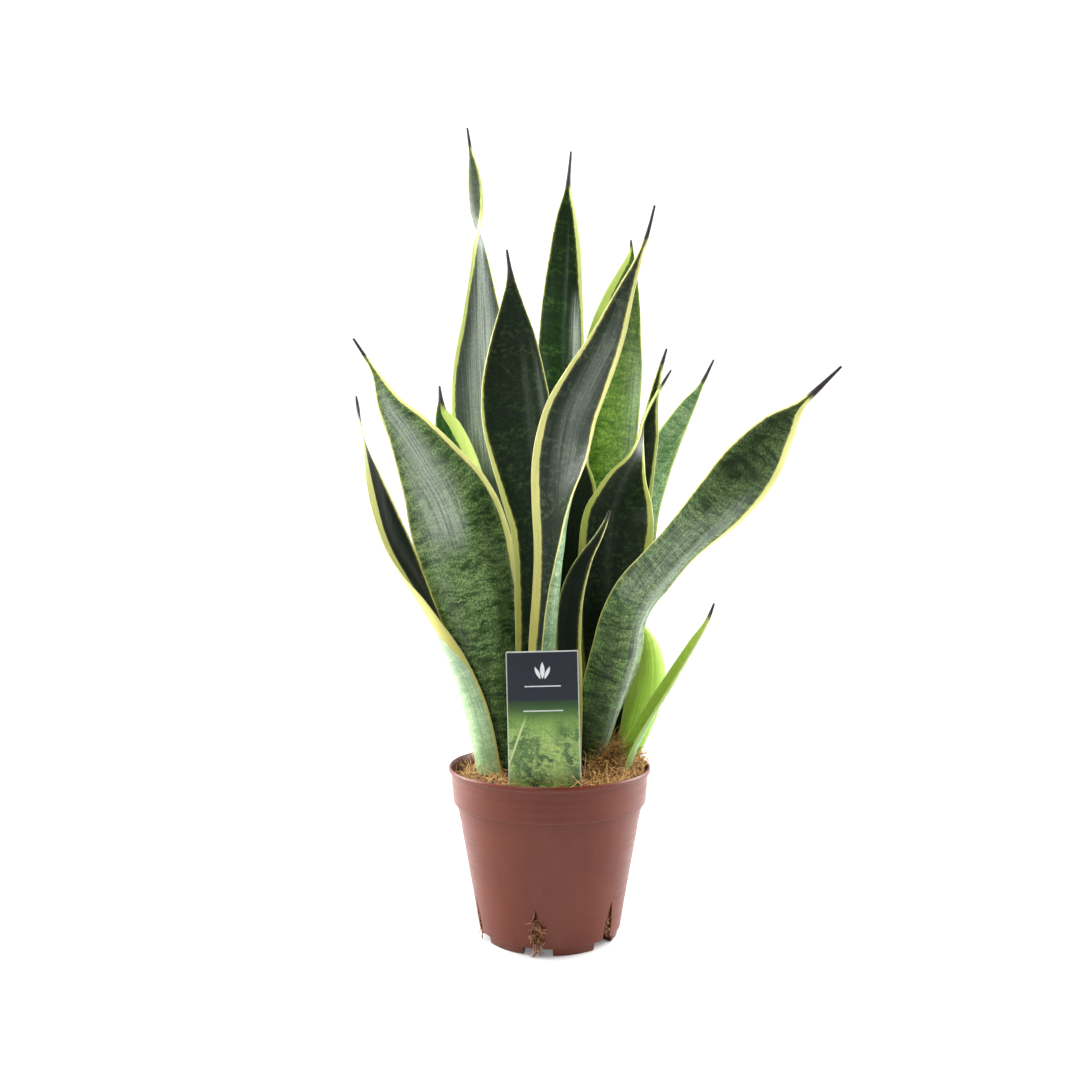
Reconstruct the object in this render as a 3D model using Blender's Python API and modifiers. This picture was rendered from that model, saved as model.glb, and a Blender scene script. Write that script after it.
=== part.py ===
"""Potted snake plant: sixteen variegated leaves in four shoots, in a round nursery pot.

Run it with Blender 4.5: blender --background --python part.py
Metres, +Z up, +X to the right and +Y to the back, seen from the side that the tag faces.
The origin is the middle of the pot's underside, on the pad that stands on the shelf.
Leaf stations are in millimetres and are turned to metres by MM.
"""

import math

import bmesh
import bpy
from mathutils import Vector

MM = 0.001

# Clearance between pieces that touch, such as a leaf and the compost round it.
GAP = 0.3 * MM

# Nursery pot. Radii are of the outer skin, and heights are above the shelf.
POT_HEIGHT = 99 * MM
POT_WALL = 1.2 * MM
LIP_RADIUS = 60 * MM
LIP_DEPTH = 2.5 * MM
COLLAR_RADIUS = 58.2 * MM
COLLAR_DEPTH = 21 * MM
COLLAR_STEP = 1.9 * MM
BAND_DEPTH = 14 * MM
BAND_STEP = 0.8 * MM
WALL_TOP_RADIUS = 52.4 * MM
WALL_FOOT_RADIUS = 42 * MM
FOOT_HEIGHT = 4.5 * MM
FOOT_INSET = 2 * MM
FOOT_OUTER_RADIUS = WALL_FOOT_RADIUS - FOOT_INSET
FOOT_RING_WIDTH = 6 * MM
FOOT_INNER_RADIUS = FOOT_OUTER_RADIUS - FOOT_RING_WIDTH
FOOT_DRAFT = 1.2 * MM
PAD_RADIUS = 9 * MM
POT_SIDES = 48

# Drainage: slots up the wall, each over a gap in the ring of feet.
SLOT_COUNT = 6
SLOT_FIRST_ANGLE = -100
SLOT_WIDTH = 3.4 * MM
SLOT_TOP = 27 * MM
FOOT_GAP_WIDTH = 17 * MM

# Compost plug, and the mat of roots that it stands on.
SOIL_DROP = 6 * MM
SOIL_EDGE_DIP = 3 * MM
SOIL_RINGS = 5
ROOT_MAT_DEPTH = 3 * MM
BUNDLE_REACH = 1.5 * MM
BUNDLE_HEIGHT = 10 * MM
BUNDLE_DROP = 3 * MM

# Mounds in the compost round the shoots: share of the compost's radius, height and spread.
MOUNDS = [
    ((0.74, 0.12), 15 * MM, 15 * MM),
    ((0.35, 0.30), 4 * MM, 20 * MM),
    ((-0.50, 0.15), 3 * MM, 18 * MM),
]

# Leaves.
LEAF_THICKNESS = 3.0 * MM
LEAF_BASE_THICKNESS = 3.8 * MM
LEAF_EDGE_SHARE = 0.34
LEAF_ROWS = 18
LEAF_COLUMNS = 4
LEAF_SCALE = 1.0
SHOOT_HEIGHT = 70
POCKET_LENGTH = 45 * MM
TIP_WIDTH = 1.4 * MM

# Plant tag.
TAG_WIDTH = 40 * MM
TAG_CARD_HEIGHT = 78 * MM
TAG_STAKE_LENGTH = 34 * MM
TAG_THICKNESS = 0.6 * MM
TAG_TOP = 171.5 * MM
TAG_OFFSET = -4 * MM
TAG_CLEARANCE = 2.3 * MM
TAG_TILT = -1.5

SOIL_LEVEL = POT_HEIGHT - SOIL_DROP

# Each leaf runs through its stations, from inside the compost to the tip. A station is x and y
# from the pot's axis, height above the compost and width, in millimetres, then facing and fold,
# in degrees. Facing is the way the channelled side looks: 0 to the front, 90 to the right. Fold
# is half the angle that the blade turns through across its width.
LEAVES = {
    "leaf_far_left": [
        (-37, -7, -15, 18, 130, 55), (-39, -7, 2, 24, 130, 55), (-47, -6, 38, 27, 125, 52),
        (-58, -7, 66, 28, 115, 50), (-70, -8, 92, 29, 92, 48), (-86, -7, 122, 29, 70, 42),
        (-98, -8, 150, 26, 62, 38), (-106, -10, 180, 18, 75, 32), (-110, -11, 203, 8, 100, 20),
        (-113, -12, 224, 1.4, 105, 10),
    ],
    "leaf_big_left": [
        (-25, -2, -15, 19, 192, 60), (-26, -2, 5, 24, 192, 58), (-29, -4, 30, 31, 194, 48),
        (-33, -6, 60, 38, 195, 38), (-40, -8, 102, 53, 195, 30), (-50, -10, 140, 60, 193, 27),
        (-59, -11, 165, 54, 191, 24), (-70, -12, 184, 41, 190, 22), (-81, -13, 202, 28, 190, 18),
        (-93, -14, 219, 15, 190, 14), (-102, -15, 238, 4, 190, 10), (-114, -16, 257, 1.4, 190, 10),
    ],
    "leaf_tall_left": [
        (-14, 33, -15, 22, -15, 60), (-16, 34, 5, 28, -15, 55), (-24, 37, 70, 34, -15, 38),
        (-32, 41, 140, 40, -15, 28), (-38, 44, 201, 46, -12, 24), (-41, 46, 246, 42, -10, 22),
        (-43, 47, 287, 24, 0, 18), (-44, 48, 314, 14, 18, 15), (-45, 48, 330, 10, 48, 15),
        (-45, 48, 338, 9, 95, 15), (-46, 48, 346, 10, 132, 15), (-47, 47, 356, 12, 146, 15),
        (-48, 46, 373, 9, 160, 15), (-50, 45, 389, 3, 165, 10), (-52, 43, 403, 1.4, 165, 10),
    ],
    "leaf_centre_left": [
        (-6, 1, -15, 18, -5, 60), (-6, 1, 5, 21, -5, 58), (-8, 1, 50, 25, -5, 48),
        (-8, 1, 100, 27, -5, 42), (-9, 1, 144, 29, -8, 38), (-12, 0, 166, 34, -10, 34),
        (-15, -1, 186, 39, -12, 30), (-18, -2, 210, 44, -12, 26), (-20, -4, 231, 41, -12, 23),
        (-21, -7, 258, 28, -10, 18), (-22, -10, 280, 13, -10, 14), (-23, -12, 295, 4, -10, 10),
        (-25, -15, 309, 1.4, -10, 10),
    ],
    "leaf_tall_centre": [
        (6, 25, -15, 22, 5, 60), (6, 25, 5, 27, 5, 55), (7, 27, 80, 33, 8, 40),
        (7, 28, 150, 37, 10, 32), (6, 30, 210, 36, 12, 28), (7, 31, 260, 31, 14, 25),
        (8, 32, 290, 27, 15, 22), (10, 34, 321, 21, 15, 18), (11, 36, 344, 13, 10, 14),
        (12, 38, 363, 4, 10, 10), (14, 41, 387, 1.4, 10, 10),
    ],
    "leaf_sweeping": [
        (-2, -20, -15, 26, -80, 60), (-1, -20, 5, 32, -80, 68), (1, -21, 70, 38, -76, 72),
        (5, -22, 130, 38, -68, 60), (6, -23, 161, 38, -50, 50), (8, -24, 187, 37, -27, 38),
        (12, -26, 210, 33, -15, 30), (20, -27, 228, 29, -10, 26), (30, -29, 248, 22, -8, 24),
        (37, -31, 265, 16, -5, 22), (43, -34, 281, 10, -5, 20), (49, -37, 296, 4.5, 0, 15),
        (54, -39, 310, 2.5, 0, 10), (58, -42, 326, 1.4, 0, 10),
    ],
    "leaf_back_right": [
        (18, 38, -15, 20, -5, 55), (18, 38, 5, 26, -5, 50), (23, 41, 70, 32, -5, 36),
        (31, 43, 130, 39, -5, 28), (34, 46, 190, 43, -5, 24), (37, 48, 222, 44, -5, 22),
        (40, 50, 251, 41, -5, 20), (43, 52, 274, 34, -5, 18), (47, 55, 295, 25, -5, 16),
        (51, 58, 313, 14, -5, 12), (54, 61, 328, 4, -5, 10), (54, 63, 337, 1.4, -5, 10),
    ],
    "leaf_short_left": [
        (-19, 20, -15, 16, -50, 55), (-20, 20, 5, 20, -50, 52), (-26, 22, 55, 26, -45, 50),
        (-34, 21, 100, 31, -38, 46), (-44, 19, 145, 35, -28, 42), (-51, 17, 172, 34, -22, 38),
        (-57, 15, 193, 29, -20, 32), (-61, 14, 207, 20, -20, 28), (-65, 14, 216, 10, -20, 20),
        (-66, 14, 224, 4, -20, 12), (-67, 15, 234, 1.4, -20, 10),
    ],
    "leaf_right_dark": [
        (30, 14, -15, 20, 0, 55), (31, 14, 5, 25, 0, 52), (35, 12, 50, 34, 0, 42),
        (36, 10, 95, 43, 0, 34), (39, 8, 133, 46, 0, 30), (41, 7, 151, 45, 0, 28),
        (43, 7, 162, 39, 5, 26), (46, 6, 175, 28, 15, 24), (51, 5, 188, 15, 35, 20),
        (54, 5, 200, 10, 65, 18), (56, 5, 211, 8, 80, 15), (61, 5, 222, 6, 80, 15),
        (67, 5, 232, 3.5, 80, 10), (73, 5, 242, 1.4, 80, 10),
    ],
    "leaf_right_inner": [
        (41, 23, -12, 12, -10, 50), (42, 23, 5, 15, -10, 50), (46, 24, 60, 18, -10, 45),
        (50, 25, 110, 19, -10, 42), (54, 26, 150, 18, -10, 40), (58, 26, 180, 16, -10, 38),
        (62, 27, 204, 13, -10, 35), (64, 27, 222, 8, -10, 25), (68, 27, 242, 4, -10, 15),
        (73, 27, 259, 1.4, -10, 10),
    ],
    "leaf_right_back": [
        (36, 34, -12, 12, -15, 50), (38, 34, 8, 16, -15, 48), (50, 41, 70, 21, -15, 38),
        (56, 48, 125, 25, -20, 30), (61, 51, 160, 26, -25, 26), (69, 53, 185, 23, -25, 22),
        (77, 54, 203, 19, -25, 18), (84, 55, 216, 15, -25, 16), (91, 55, 228, 10, -25, 14),
        (98, 55, 239, 4, -25, 10), (107, 55, 257, 1.4, -25, 10),
    ],
    "leaf_far_right": [
        (20, -4, -15, 22, 195, 60), (22, -5, 4, 26, 196, 60), (26, -7, 20, 29, 198, 58),
        (31, -10, 36, 31, 200, 54), (36, -13, 54, 35, 200, 48), (41, -18, 73, 36, 200, 44),
        (44, -23, 91, 33, 200, 42), (51, -29, 108, 31, 198, 42), (62, -34, 123, 28, 196, 40),
        (72, -38, 135, 27, 195, 36), (81, -42, 145, 29, 194, 30), (95, -47, 160, 34, 192, 24),
        (110, -53, 180, 34, 190, 20), (123, -58, 199, 22, 190, 18), (134, -62, 212, 6, 190, 14),
        (144, -65, 222, 3, 190, 10), (154, -68, 232, 1.4, 190, 10),
    ],
    "leaf_inner_dark": [
        (12.5, -9, -15, 13, -10, 50), (12.5, -9, 5, 15, -10, 48), (12, -9, 50, 16, -10, 40),
        (11.3, -9.5, 85, 16, -10, 35), (12.8, -10.5, 105, 15, -10, 32), (17, -12, 120, 12, -10, 28),
        (22, -13, 131, 8, -10, 22), (28, -13, 141, 5, -10, 15), (32, -13, 149, 3, -10, 10),
        (35, -13, 157, 1.4, -10, 10),
    ],
    "leaf_hidden": [
        (10, 9, -15, 14, -5, 50), (10, 9, 5, 18, -5, 48), (10, 13, 60, 22, -5, 38),
        (12, 17, 110, 27, -5, 32), (14, 18, 150, 30, -5, 28), (15, 18, 170, 28, -5, 24),
        (14, 18, 185, 20, -5, 20), (13, 18, 197, 9, -5, 14), (12, 18, 206, 3, -5, 10),
        (11, 18, 215, 1.4, -5, 10),
    ],
    "leaf_low_right": [
        (43, -9, -12, 12, -80, 50), (45, -9, 3, 18, -80, 60), (50, -10, 18, 19, -80, 60),
        (58, -11, 34, 16, -78, 58), (67, -13, 50, 13, -75, 55), (76, -15, 66, 11, -75, 50),
        (85, -17, 82, 8, -75, 35), (91, -18, 93, 3.5, -75, 15), (95, -18, 103, 1.4, -75, 10),
    ],
    "leaf_young_right": [
        (44, 5, -12, 12, 200, 50), (46, 5, 5, 17, 200, 50), (53, 4, 24, 23, 200, 44),
        (58, 3, 44, 26, 200, 38), (60, 2, 62, 24, 200, 32), (59, 1, 76, 16, 200, 26),
        (56, 1, 86, 6, 200, 15), (54, 0, 94, 1.4, 200, 10),
    ],
}


def colour(red, green, blue):
    return (red, green, blue, 1)


MATERIALS = {
    "pot_plastic": (colour(0.34, 0.12, 0.08), 0.38, 0.0),
    "compost": (colour(0.11, 0.055, 0.025), 0.95, 0.0),
    "roots": (colour(0.42, 0.29, 0.16), 0.85, 0.0),
    "leaf": (colour(0.03, 0.085, 0.04), 0.38, 0.0),
    "tag_card": (colour(0.16, 0.30, 0.10), 0.35, 0.0),
}


def material(name):
    """The Principled material of that name, made the first time it is asked for."""
    found = bpy.data.materials.get(name)
    if found:
        return found
    made = bpy.data.materials.new(name)
    made.use_nodes = True
    shader = made.node_tree.nodes["Principled BSDF"]
    base, roughness, metallic = MATERIALS[name]
    shader.inputs["Base Color"].default_value = base
    shader.inputs["Roughness"].default_value = roughness
    shader.inputs["Metallic"].default_value = metallic
    return made


def clear_scene():
    for obj in list(bpy.data.objects):
        bpy.data.objects.remove(obj, do_unlink=True)


def new_collection(name):
    made = bpy.data.collections.new(name)
    bpy.context.scene.collection.children.link(made)
    return made


def add_object(name, mesh, collection, material_name=None):
    obj = bpy.data.objects.new(name, mesh)
    collection.objects.link(obj)
    if material_name:
        mesh.materials.append(material(material_name))
    return obj


def make_cutter(obj):
    obj.hide_render = True
    obj.display_type = "WIRE"
    return obj


def mesh_from(bm, name):
    mesh = bpy.data.meshes.new(name)
    bm.to_mesh(mesh)
    bm.free()
    return mesh


def line_mesh(name, points):
    """A chain of edges through (radius, height) points, to be turned about Z."""
    bm = bmesh.new()
    chain = [bm.verts.new((radius, 0, height)) for radius, height in points]
    for first, second in zip(chain, chain[1:]):
        bm.edges.new((first, second))
    return mesh_from(bm, name)


def turned(name, profile, collection, material_name):
    """The profile, which runs down its outer side, turned a full circle about Z."""
    obj = add_object(name, line_mesh(name, profile), collection, material_name)
    screw = obj.modifiers.new("turn", "SCREW")
    screw.steps = screw.render_steps = POT_SIDES
    screw.use_merge_vertices = True
    screw.merge_threshold = 0.00001
    screw.use_smooth_shade = True
    return obj


def boolean(obj, name, operation, other):
    modifier = obj.modifiers.new(name, "BOOLEAN")
    modifier.operation = operation
    modifier.solver = "EXACT"
    if isinstance(other, bpy.types.Collection):
        modifier.operand_type = "COLLECTION"
        modifier.collection = other
    else:
        modifier.object = other
    return modifier


def box(name, low, high, collection):
    bm = bmesh.new()
    bmesh.ops.create_cube(bm, size=1)
    for vertex in bm.verts:
        vertex.co = Vector(
            low[axis] if vertex.co[axis] < 0 else high[axis] for axis in range(3)
        )
    return add_object(name, mesh_from(bm, name), collection)


# ---------------------------------------------------------------- smooth curves


def slopes(knots, values):
    """Finite-difference slopes of values at uneven knots, for a cubic through all of them."""
    found = []
    for i in range(len(knots)):
        before, after = max(i - 1, 0), min(i + 1, len(knots) - 1)
        found.append((values[after] - values[before]) / (knots[after] - knots[before]))
    return found


def smooth(knots, values, at):
    """The cubic Hermite curve through the values, at one place."""
    at = min(max(at, knots[0]), knots[-1])
    i = max(k for k in range(len(knots) - 1) if knots[k] <= at or k == 0)
    span = knots[i + 1] - knots[i]
    t = (at - knots[i]) / span
    rise = slopes(knots, values)
    return (
        values[i] * (2 * t**3 - 3 * t**2 + 1)
        + rise[i] * span * (t**3 - 2 * t**2 + t)
        + values[i + 1] * (3 * t**2 - 2 * t**3)
        + rise[i + 1] * span * (t**3 - t**2)
    )


# ---------------------------------------------------------------- pot


def pot_profile():
    """The pot's outer skin as (radius, height), from the lip's inner edge down to the axis."""
    collar_foot = POT_HEIGHT - COLLAR_DEPTH
    band_foot = collar_foot - BAND_DEPTH
    neck = COLLAR_RADIUS + 0.4 * MM
    return [
        (LIP_RADIUS - 0.9 * MM, POT_HEIGHT),
        (LIP_RADIUS, POT_HEIGHT - 0.8 * MM),
        (LIP_RADIUS, POT_HEIGHT - LIP_DEPTH),
        (neck, POT_HEIGHT - LIP_DEPTH - 1.2 * MM),
        (COLLAR_RADIUS - 1.0 * MM, collar_foot + 0.8 * MM),
        (COLLAR_RADIUS - 1.0 * MM - COLLAR_STEP, collar_foot - 0.8 * MM),
        (WALL_TOP_RADIUS + BAND_STEP + 0.3 * MM, band_foot + 1.2 * MM),
        (WALL_TOP_RADIUS, band_foot - 0.6 * MM),
        (WALL_FOOT_RADIUS, FOOT_HEIGHT + 0.8 * MM),
        (WALL_FOOT_RADIUS - 0.8 * MM, FOOT_HEIGHT),
        (FOOT_OUTER_RADIUS + FOOT_DRAFT, FOOT_HEIGHT),
        (FOOT_OUTER_RADIUS, 0),
        (FOOT_INNER_RADIUS, 0),
        (FOOT_INNER_RADIUS - FOOT_DRAFT, FOOT_HEIGHT),
        (PAD_RADIUS + FOOT_DRAFT, FOOT_HEIGHT),
        (PAD_RADIUS, 0),
        (0, 0),
    ]


def outer_radius(height):
    """The pot's outer radius at a height on its wall."""
    wall = [p for p in pot_profile() if p[1] >= FOOT_HEIGHT + 0.5 * MM]
    for (r_high, high), (r_low, low) in zip(wall, wall[1:]):
        if low <= height <= high:
            return r_low + (r_high - r_low) * (height - low) / (high - low)
    return WALL_FOOT_RADIUS


def inner_radius(height):
    """The inner radius there. The wall measures its thickness across the steeper slope beside."""
    here = outer_radius(height)
    steepest = max(abs(outer_radius(height + side) - here) / GAP for side in (-GAP, GAP))
    return here - POT_WALL * 1.05 * math.hypot(1, steepest)


def slot_angles():
    return [SLOT_FIRST_ANGLE + k * 360 / SLOT_COUNT for k in range(SLOT_COUNT)]


def radial_block(name, angle, inner, outer, width, low, high, collection):
    """A block whose length points away from the pot's axis at an angle."""
    obj = box(name, (inner, -width / 2, low), (outer, width / 2, high), collection)
    obj.rotation_euler = (0, 0, math.radians(angle))
    return make_cutter(obj)


def make_pot(parts, cutters):
    pot = turned("nursery_pot", pot_profile(), parts, "pot_plastic")
    shell = pot.modifiers.new("wall", "SOLIDIFY")
    shell.thickness = POT_WALL
    shell.offset = -1
    shell.use_even_offset = True
    for k, angle in enumerate(slot_angles()):
        slot = radial_block(
            f"cutter_slot_{k + 1}", angle, FOOT_INNER_RADIUS + 2 * MM, LIP_RADIUS,
            SLOT_WIDTH, -1 * MM, SLOT_TOP, cutters,
        )
        gap = radial_block(
            f"cutter_foot_gap_{k + 1}", angle, FOOT_INNER_RADIUS - 3 * MM, LIP_RADIUS,
            FOOT_GAP_WIDTH, -1 * MM, FOOT_HEIGHT - 0.3 * MM, cutters,
        )
        boolean(pot, f"slot_{k + 1}", "DIFFERENCE", slot)
        boolean(pot, f"foot_gap_{k + 1}", "DIFFERENCE", gap)
    return pot


# ---------------------------------------------------------------- compost and roots


def soil_radius():
    return inner_radius(SOIL_LEVEL) - GAP


def floor_top():
    return FOOT_HEIGHT + POT_WALL + GAP


def make_root_mat(parts, cutters):
    """The mat of roots on the pot's floor, with a bundle of roots grown out of each slot."""
    low = floor_top()
    top = low + ROOT_MAT_DEPTH
    radius = inner_radius(low) - 2 * GAP
    mat = turned("root_mat", [(0, top), (radius, top), (radius, low), (0, low)], parts, "roots")
    width = SLOT_WIDTH - 2 * GAP
    outside = outer_radius(top) + BUNDLE_REACH
    bundle_top = low + BUNDLE_HEIGHT - BUNDLE_DROP
    inside = inner_radius(bundle_top) + GAP
    for k, angle in enumerate(slot_angles()):
        stem = radial_block(
            f"root_stem_{k + 1}", angle, radius - 3 * MM, outside - GAP, width - 2 * GAP,
            low + GAP, top - GAP, cutters,
        )
        bundle = radial_block(
            f"root_bundle_{k + 1}", angle, inside, outside, width,
            low - BUNDLE_DROP, bundle_top, cutters,
        )
        boolean(mat, f"stem_{k + 1}", "UNION", stem)
        boolean(mat, f"bundle_{k + 1}", "UNION", bundle)
    return mat


def mound(x, y):
    """How far the compost stands above its plain level at a place."""
    reach = soil_radius()
    rise = 0.0
    for (share_x, share_y), height, width in MOUNDS:
        away = math.hypot(x - share_x * reach, y - share_y * reach)
        rise += height * math.exp(-((away / width) ** 2))
    return rise


def make_compost(parts, pockets):
    """The plug of compost: it fills the pot over the root mat, and the leaves stand in pockets."""
    low = floor_top() + ROOT_MAT_DEPTH + GAP
    rim = soil_radius()
    edge_level = SOIL_LEVEL - SOIL_EDGE_DIP
    profile = []
    for k in range(SOIL_RINGS):
        share = k / SOIL_RINGS
        profile.append((rim * share, SOIL_LEVEL - SOIL_EDGE_DIP * share**3))
    profile.append((inner_radius(edge_level) - GAP, edge_level))
    for _, height in pot_profile():
        if low + 2 * MM < height < edge_level - 2 * MM:
            profile.append((inner_radius(height) - GAP, height))
    profile.append((inner_radius(low) - GAP, low))
    profile.append((0, low))
    compost = turned("compost", profile, parts, "compost")
    heap(compost)
    boolean(compost, "pockets", "DIFFERENCE", pockets)
    return compost


def heap(compost):
    """Freezes the turned compost and lifts its top round the shoots."""
    graph = bpy.context.evaluated_depsgraph_get()
    mesh = bpy.data.meshes.new_from_object(compost.evaluated_get(graph))
    compost.modifiers.clear()
    compost.data = mesh
    edge_level = SOIL_LEVEL - SOIL_EDGE_DIP
    for vertex in mesh.vertices:
        if vertex.co.z > edge_level + GAP / 2:
            vertex.co.z += mound(vertex.co.x, vertex.co.y)


# ---------------------------------------------------------------- leaves


def plant_spread():
    """The plan of the plant follows the pot, so that every leaf keeps its place in the compost."""
    return soil_radius() / (56.6 * MM)


def growth(height):
    """The plant's scale at a height in millimetres: its shoots keep their size in the pot."""
    share = min(max(height / SHOOT_HEIGHT, 0), 1)
    return 1 + (LEAF_SCALE - 1) * share**2 * (3 - 2 * share)


def leaf_stations(leaf):
    """Each station as its place and width in metres, and its facing and fold in radians."""
    found = []
    for x, y, height, width, facing, fold in leaf:
        size = growth(height) * MM
        across = plant_spread() * size
        place = Vector((x * across, y * across, SOIL_LEVEL + height * size))
        found.append((place, width * size, math.radians(facing), math.radians(fold)))
    return found


def lengths_along(found):
    """How far along the leaf each station is."""
    knots = [0.0]
    for first, second in zip(found, found[1:]):
        knots.append(knots[-1] + (second[0] - first[0]).length)
    return knots


def leaf_thickness(t):
    """Thickness at the midrib: most at the base, then even, then thin towards the point."""
    base = max(0, 1 - t / 0.15)
    tip = max(0, (t - 0.7) / 0.3)
    thick = LEAF_THICKNESS + (LEAF_BASE_THICKNESS - LEAF_THICKNESS) * base
    return thick * (1 - 0.6 * tip**2)


def leaf_mesh(name, leaf, rows, grow):
    """The first rows of the leaf's middle surface, as a grid with its thicknesses."""
    found = leaf_stations(leaf)
    knots = lengths_along(found)
    places, widths, turns, folds = zip(*found)
    bm = bmesh.new()
    bmesh.ops.create_grid(bm, x_segments=LEAF_COLUMNS, y_segments=rows, size=1)
    thickness = []
    for vertex in bm.verts:
        v, t = vertex.co.x, (vertex.co.y + 1) / 2 * rows / LEAF_ROWS
        at, step = t * knots[-1], 0.002 * knots[-1]
        along = smooth(knots, places, at + step) - smooth(knots, places, at - step)
        along.normalize()
        turn = smooth(knots, turns, at)
        facing = Vector((math.sin(turn), -math.cos(turn), 0))
        facing = (facing - facing.dot(along) * along).normalized()
        width = max(smooth(knots, widths, at), TIP_WIDTH) + 2 * grow
        fold = max(smooth(knots, folds, at), 0.05)
        bend = width / (2 * fold)
        sunk = 2 * grow if at < step else 0
        vertex.co = (
            smooth(knots, places, at)
            - along * sunk
            + along.cross(facing) * bend * math.sin(fold * v)
            + facing * bend * (1 - math.cos(fold * v))
        )
        edge = LEAF_EDGE_SHARE + (1 - LEAF_EDGE_SHARE) * (1 - abs(v) ** 2.5)
        thickness.append(leaf_thickness(t) * edge + 2 * grow)
    return mesh_from(bm, name), thickness


def make_leaf(name, leaf, collection, rows=LEAF_ROWS, grow=0.0):
    mesh, thickness = leaf_mesh(name, leaf, rows, grow)
    obj = add_object(name, mesh, collection, None if grow else "leaf")
    group = obj.vertex_groups.new(name="thickness")
    most = LEAF_BASE_THICKNESS + 2 * grow
    for index, thick in enumerate(thickness):
        group.add([index], thick / most, "REPLACE")
    shell = obj.modifiers.new("blade", "SOLIDIFY")
    shell.thickness = most
    shell.offset = 0
    shell.vertex_group = "thickness"
    mesh.shade_smooth()
    return obj


def make_leaves(parts, pockets):
    for name, leaf in LEAVES.items():
        make_leaf(name, leaf, parts)
        length = lengths_along(leaf_stations(leaf))[-1]
        rooted = math.ceil(LEAF_ROWS * POCKET_LENGTH / length)
        pocket = make_leaf(f"pocket_{name}", leaf, pockets, rows=rooted, grow=GAP)
        make_cutter(pocket)


# ---------------------------------------------------------------- tag


def tag_distance():
    """How far in front of the axis the tag stands, with its corners and its point in the pot."""
    corner_reach = soil_radius() - TAG_CLEARANCE
    corners = math.sqrt(corner_reach**2 - (TAG_WIDTH / 2 - TAG_OFFSET) ** 2)
    point = inner_radius(TAG_TOP - TAG_CARD_HEIGHT - TAG_STAKE_LENGTH) - TAG_CLEARANCE
    return min(corners, point)


def make_tag(parts, pockets):
    """A printed card on a pointed stake, pushed into the compost just inside the lip."""
    half = TAG_WIDTH / 2
    shoulder = -TAG_CARD_HEIGHT
    outline = [
        (-half, 0), (half, 0), (half, shoulder), (half * 0.45, shoulder - 0.3 * TAG_STAKE_LENGTH),
        (0, shoulder - TAG_STAKE_LENGTH), (-half * 0.45, shoulder - 0.3 * TAG_STAKE_LENGTH),
        (-half, shoulder),
    ]
    for name, grow, collection in (("plant_tag", 0, parts), ("pocket_tag", GAP, pockets)):
        curve = bpy.data.curves.new(name, "CURVE")
        curve.dimensions = "2D"
        curve.fill_mode = "BOTH"
        curve.extrude = TAG_THICKNESS / 2 + grow
        spline = curve.splines.new("POLY")
        spline.points.add(len(outline) - 1)
        for point, (x, z) in zip(spline.points, outline):
            side = 0 if abs(x) < 1e-9 else math.copysign(grow, x)
            point.co = (x + side, z + (grow if z == 0 else -grow), 0, 1)
        spline.use_cyclic_u = True
        obj = bpy.data.objects.new(name, curve)
        collection.objects.link(obj)
        obj.rotation_euler = (math.radians(90), math.radians(TAG_TILT), 0)
        obj.location = (TAG_OFFSET, -tag_distance(), TAG_TOP)
        if collection is parts:
            curve.materials.append(material("tag_card"))
        else:
            make_cutter(mesh_copy(obj, collection))


def mesh_copy(curve_object, collection):
    """Replaces a curve by its mesh with welded caps, so that it can cut."""
    bpy.context.view_layer.update()
    graph = bpy.context.evaluated_depsgraph_get()
    mesh = bpy.data.meshes.new_from_object(curve_object.evaluated_get(graph))
    bm = bmesh.new()
    bm.from_mesh(mesh)
    bmesh.ops.remove_doubles(bm, verts=bm.verts, dist=0.01 * MM)
    bm.to_mesh(mesh)
    bm.free()
    name = curve_object.name
    place = curve_object.matrix_world.copy()
    bpy.data.objects.remove(curve_object)
    obj = add_object(name, mesh, collection)
    obj.matrix_world = place
    return obj


def main():
    clear_scene()
    parts = new_collection("potted_snake_plant")
    cutters = new_collection("cutters")
    pockets = new_collection("pockets")
    make_pot(parts, cutters)
    make_root_mat(parts, cutters)
    make_leaves(parts, pockets)
    make_tag(parts, pockets)
    make_compost(parts, pockets)


main()
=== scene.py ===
"""A potted snake plant: leaves, nursery pot, compost, roots and plant label, on a white floor."""

import math
import random

import bmesh
import bpy
import numpy as np
from mathutils import Matrix, Vector, noise


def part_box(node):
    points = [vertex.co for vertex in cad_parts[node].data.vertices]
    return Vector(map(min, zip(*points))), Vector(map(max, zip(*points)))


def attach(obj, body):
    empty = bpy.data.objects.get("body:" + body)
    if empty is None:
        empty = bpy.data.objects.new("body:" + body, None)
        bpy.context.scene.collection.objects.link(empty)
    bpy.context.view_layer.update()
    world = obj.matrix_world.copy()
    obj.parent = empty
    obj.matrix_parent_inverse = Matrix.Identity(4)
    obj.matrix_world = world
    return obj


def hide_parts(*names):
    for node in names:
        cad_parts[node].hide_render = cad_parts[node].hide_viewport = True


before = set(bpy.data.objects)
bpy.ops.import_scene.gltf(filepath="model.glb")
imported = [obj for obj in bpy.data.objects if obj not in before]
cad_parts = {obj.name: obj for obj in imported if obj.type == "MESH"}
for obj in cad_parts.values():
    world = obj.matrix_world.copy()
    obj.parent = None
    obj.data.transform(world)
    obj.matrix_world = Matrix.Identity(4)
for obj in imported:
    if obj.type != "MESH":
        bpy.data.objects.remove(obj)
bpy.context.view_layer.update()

MM = 0.001
POT_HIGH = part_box("nursery_pot")[1]
POT_HEIGHT = POT_HIGH[2]
LIP_RADIUS = POT_HIGH[0]
SOIL_LEVEL = POT_HEIGHT - 6 * MM
SOIL_RADIUS = LIP_RADIUS - 3.4 * MM
TAG_LOW, TAG_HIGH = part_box("plant_tag")

# How much wider the plant's plan is than its table, as in the CAD part.
SPREAD = 1.0035

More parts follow.
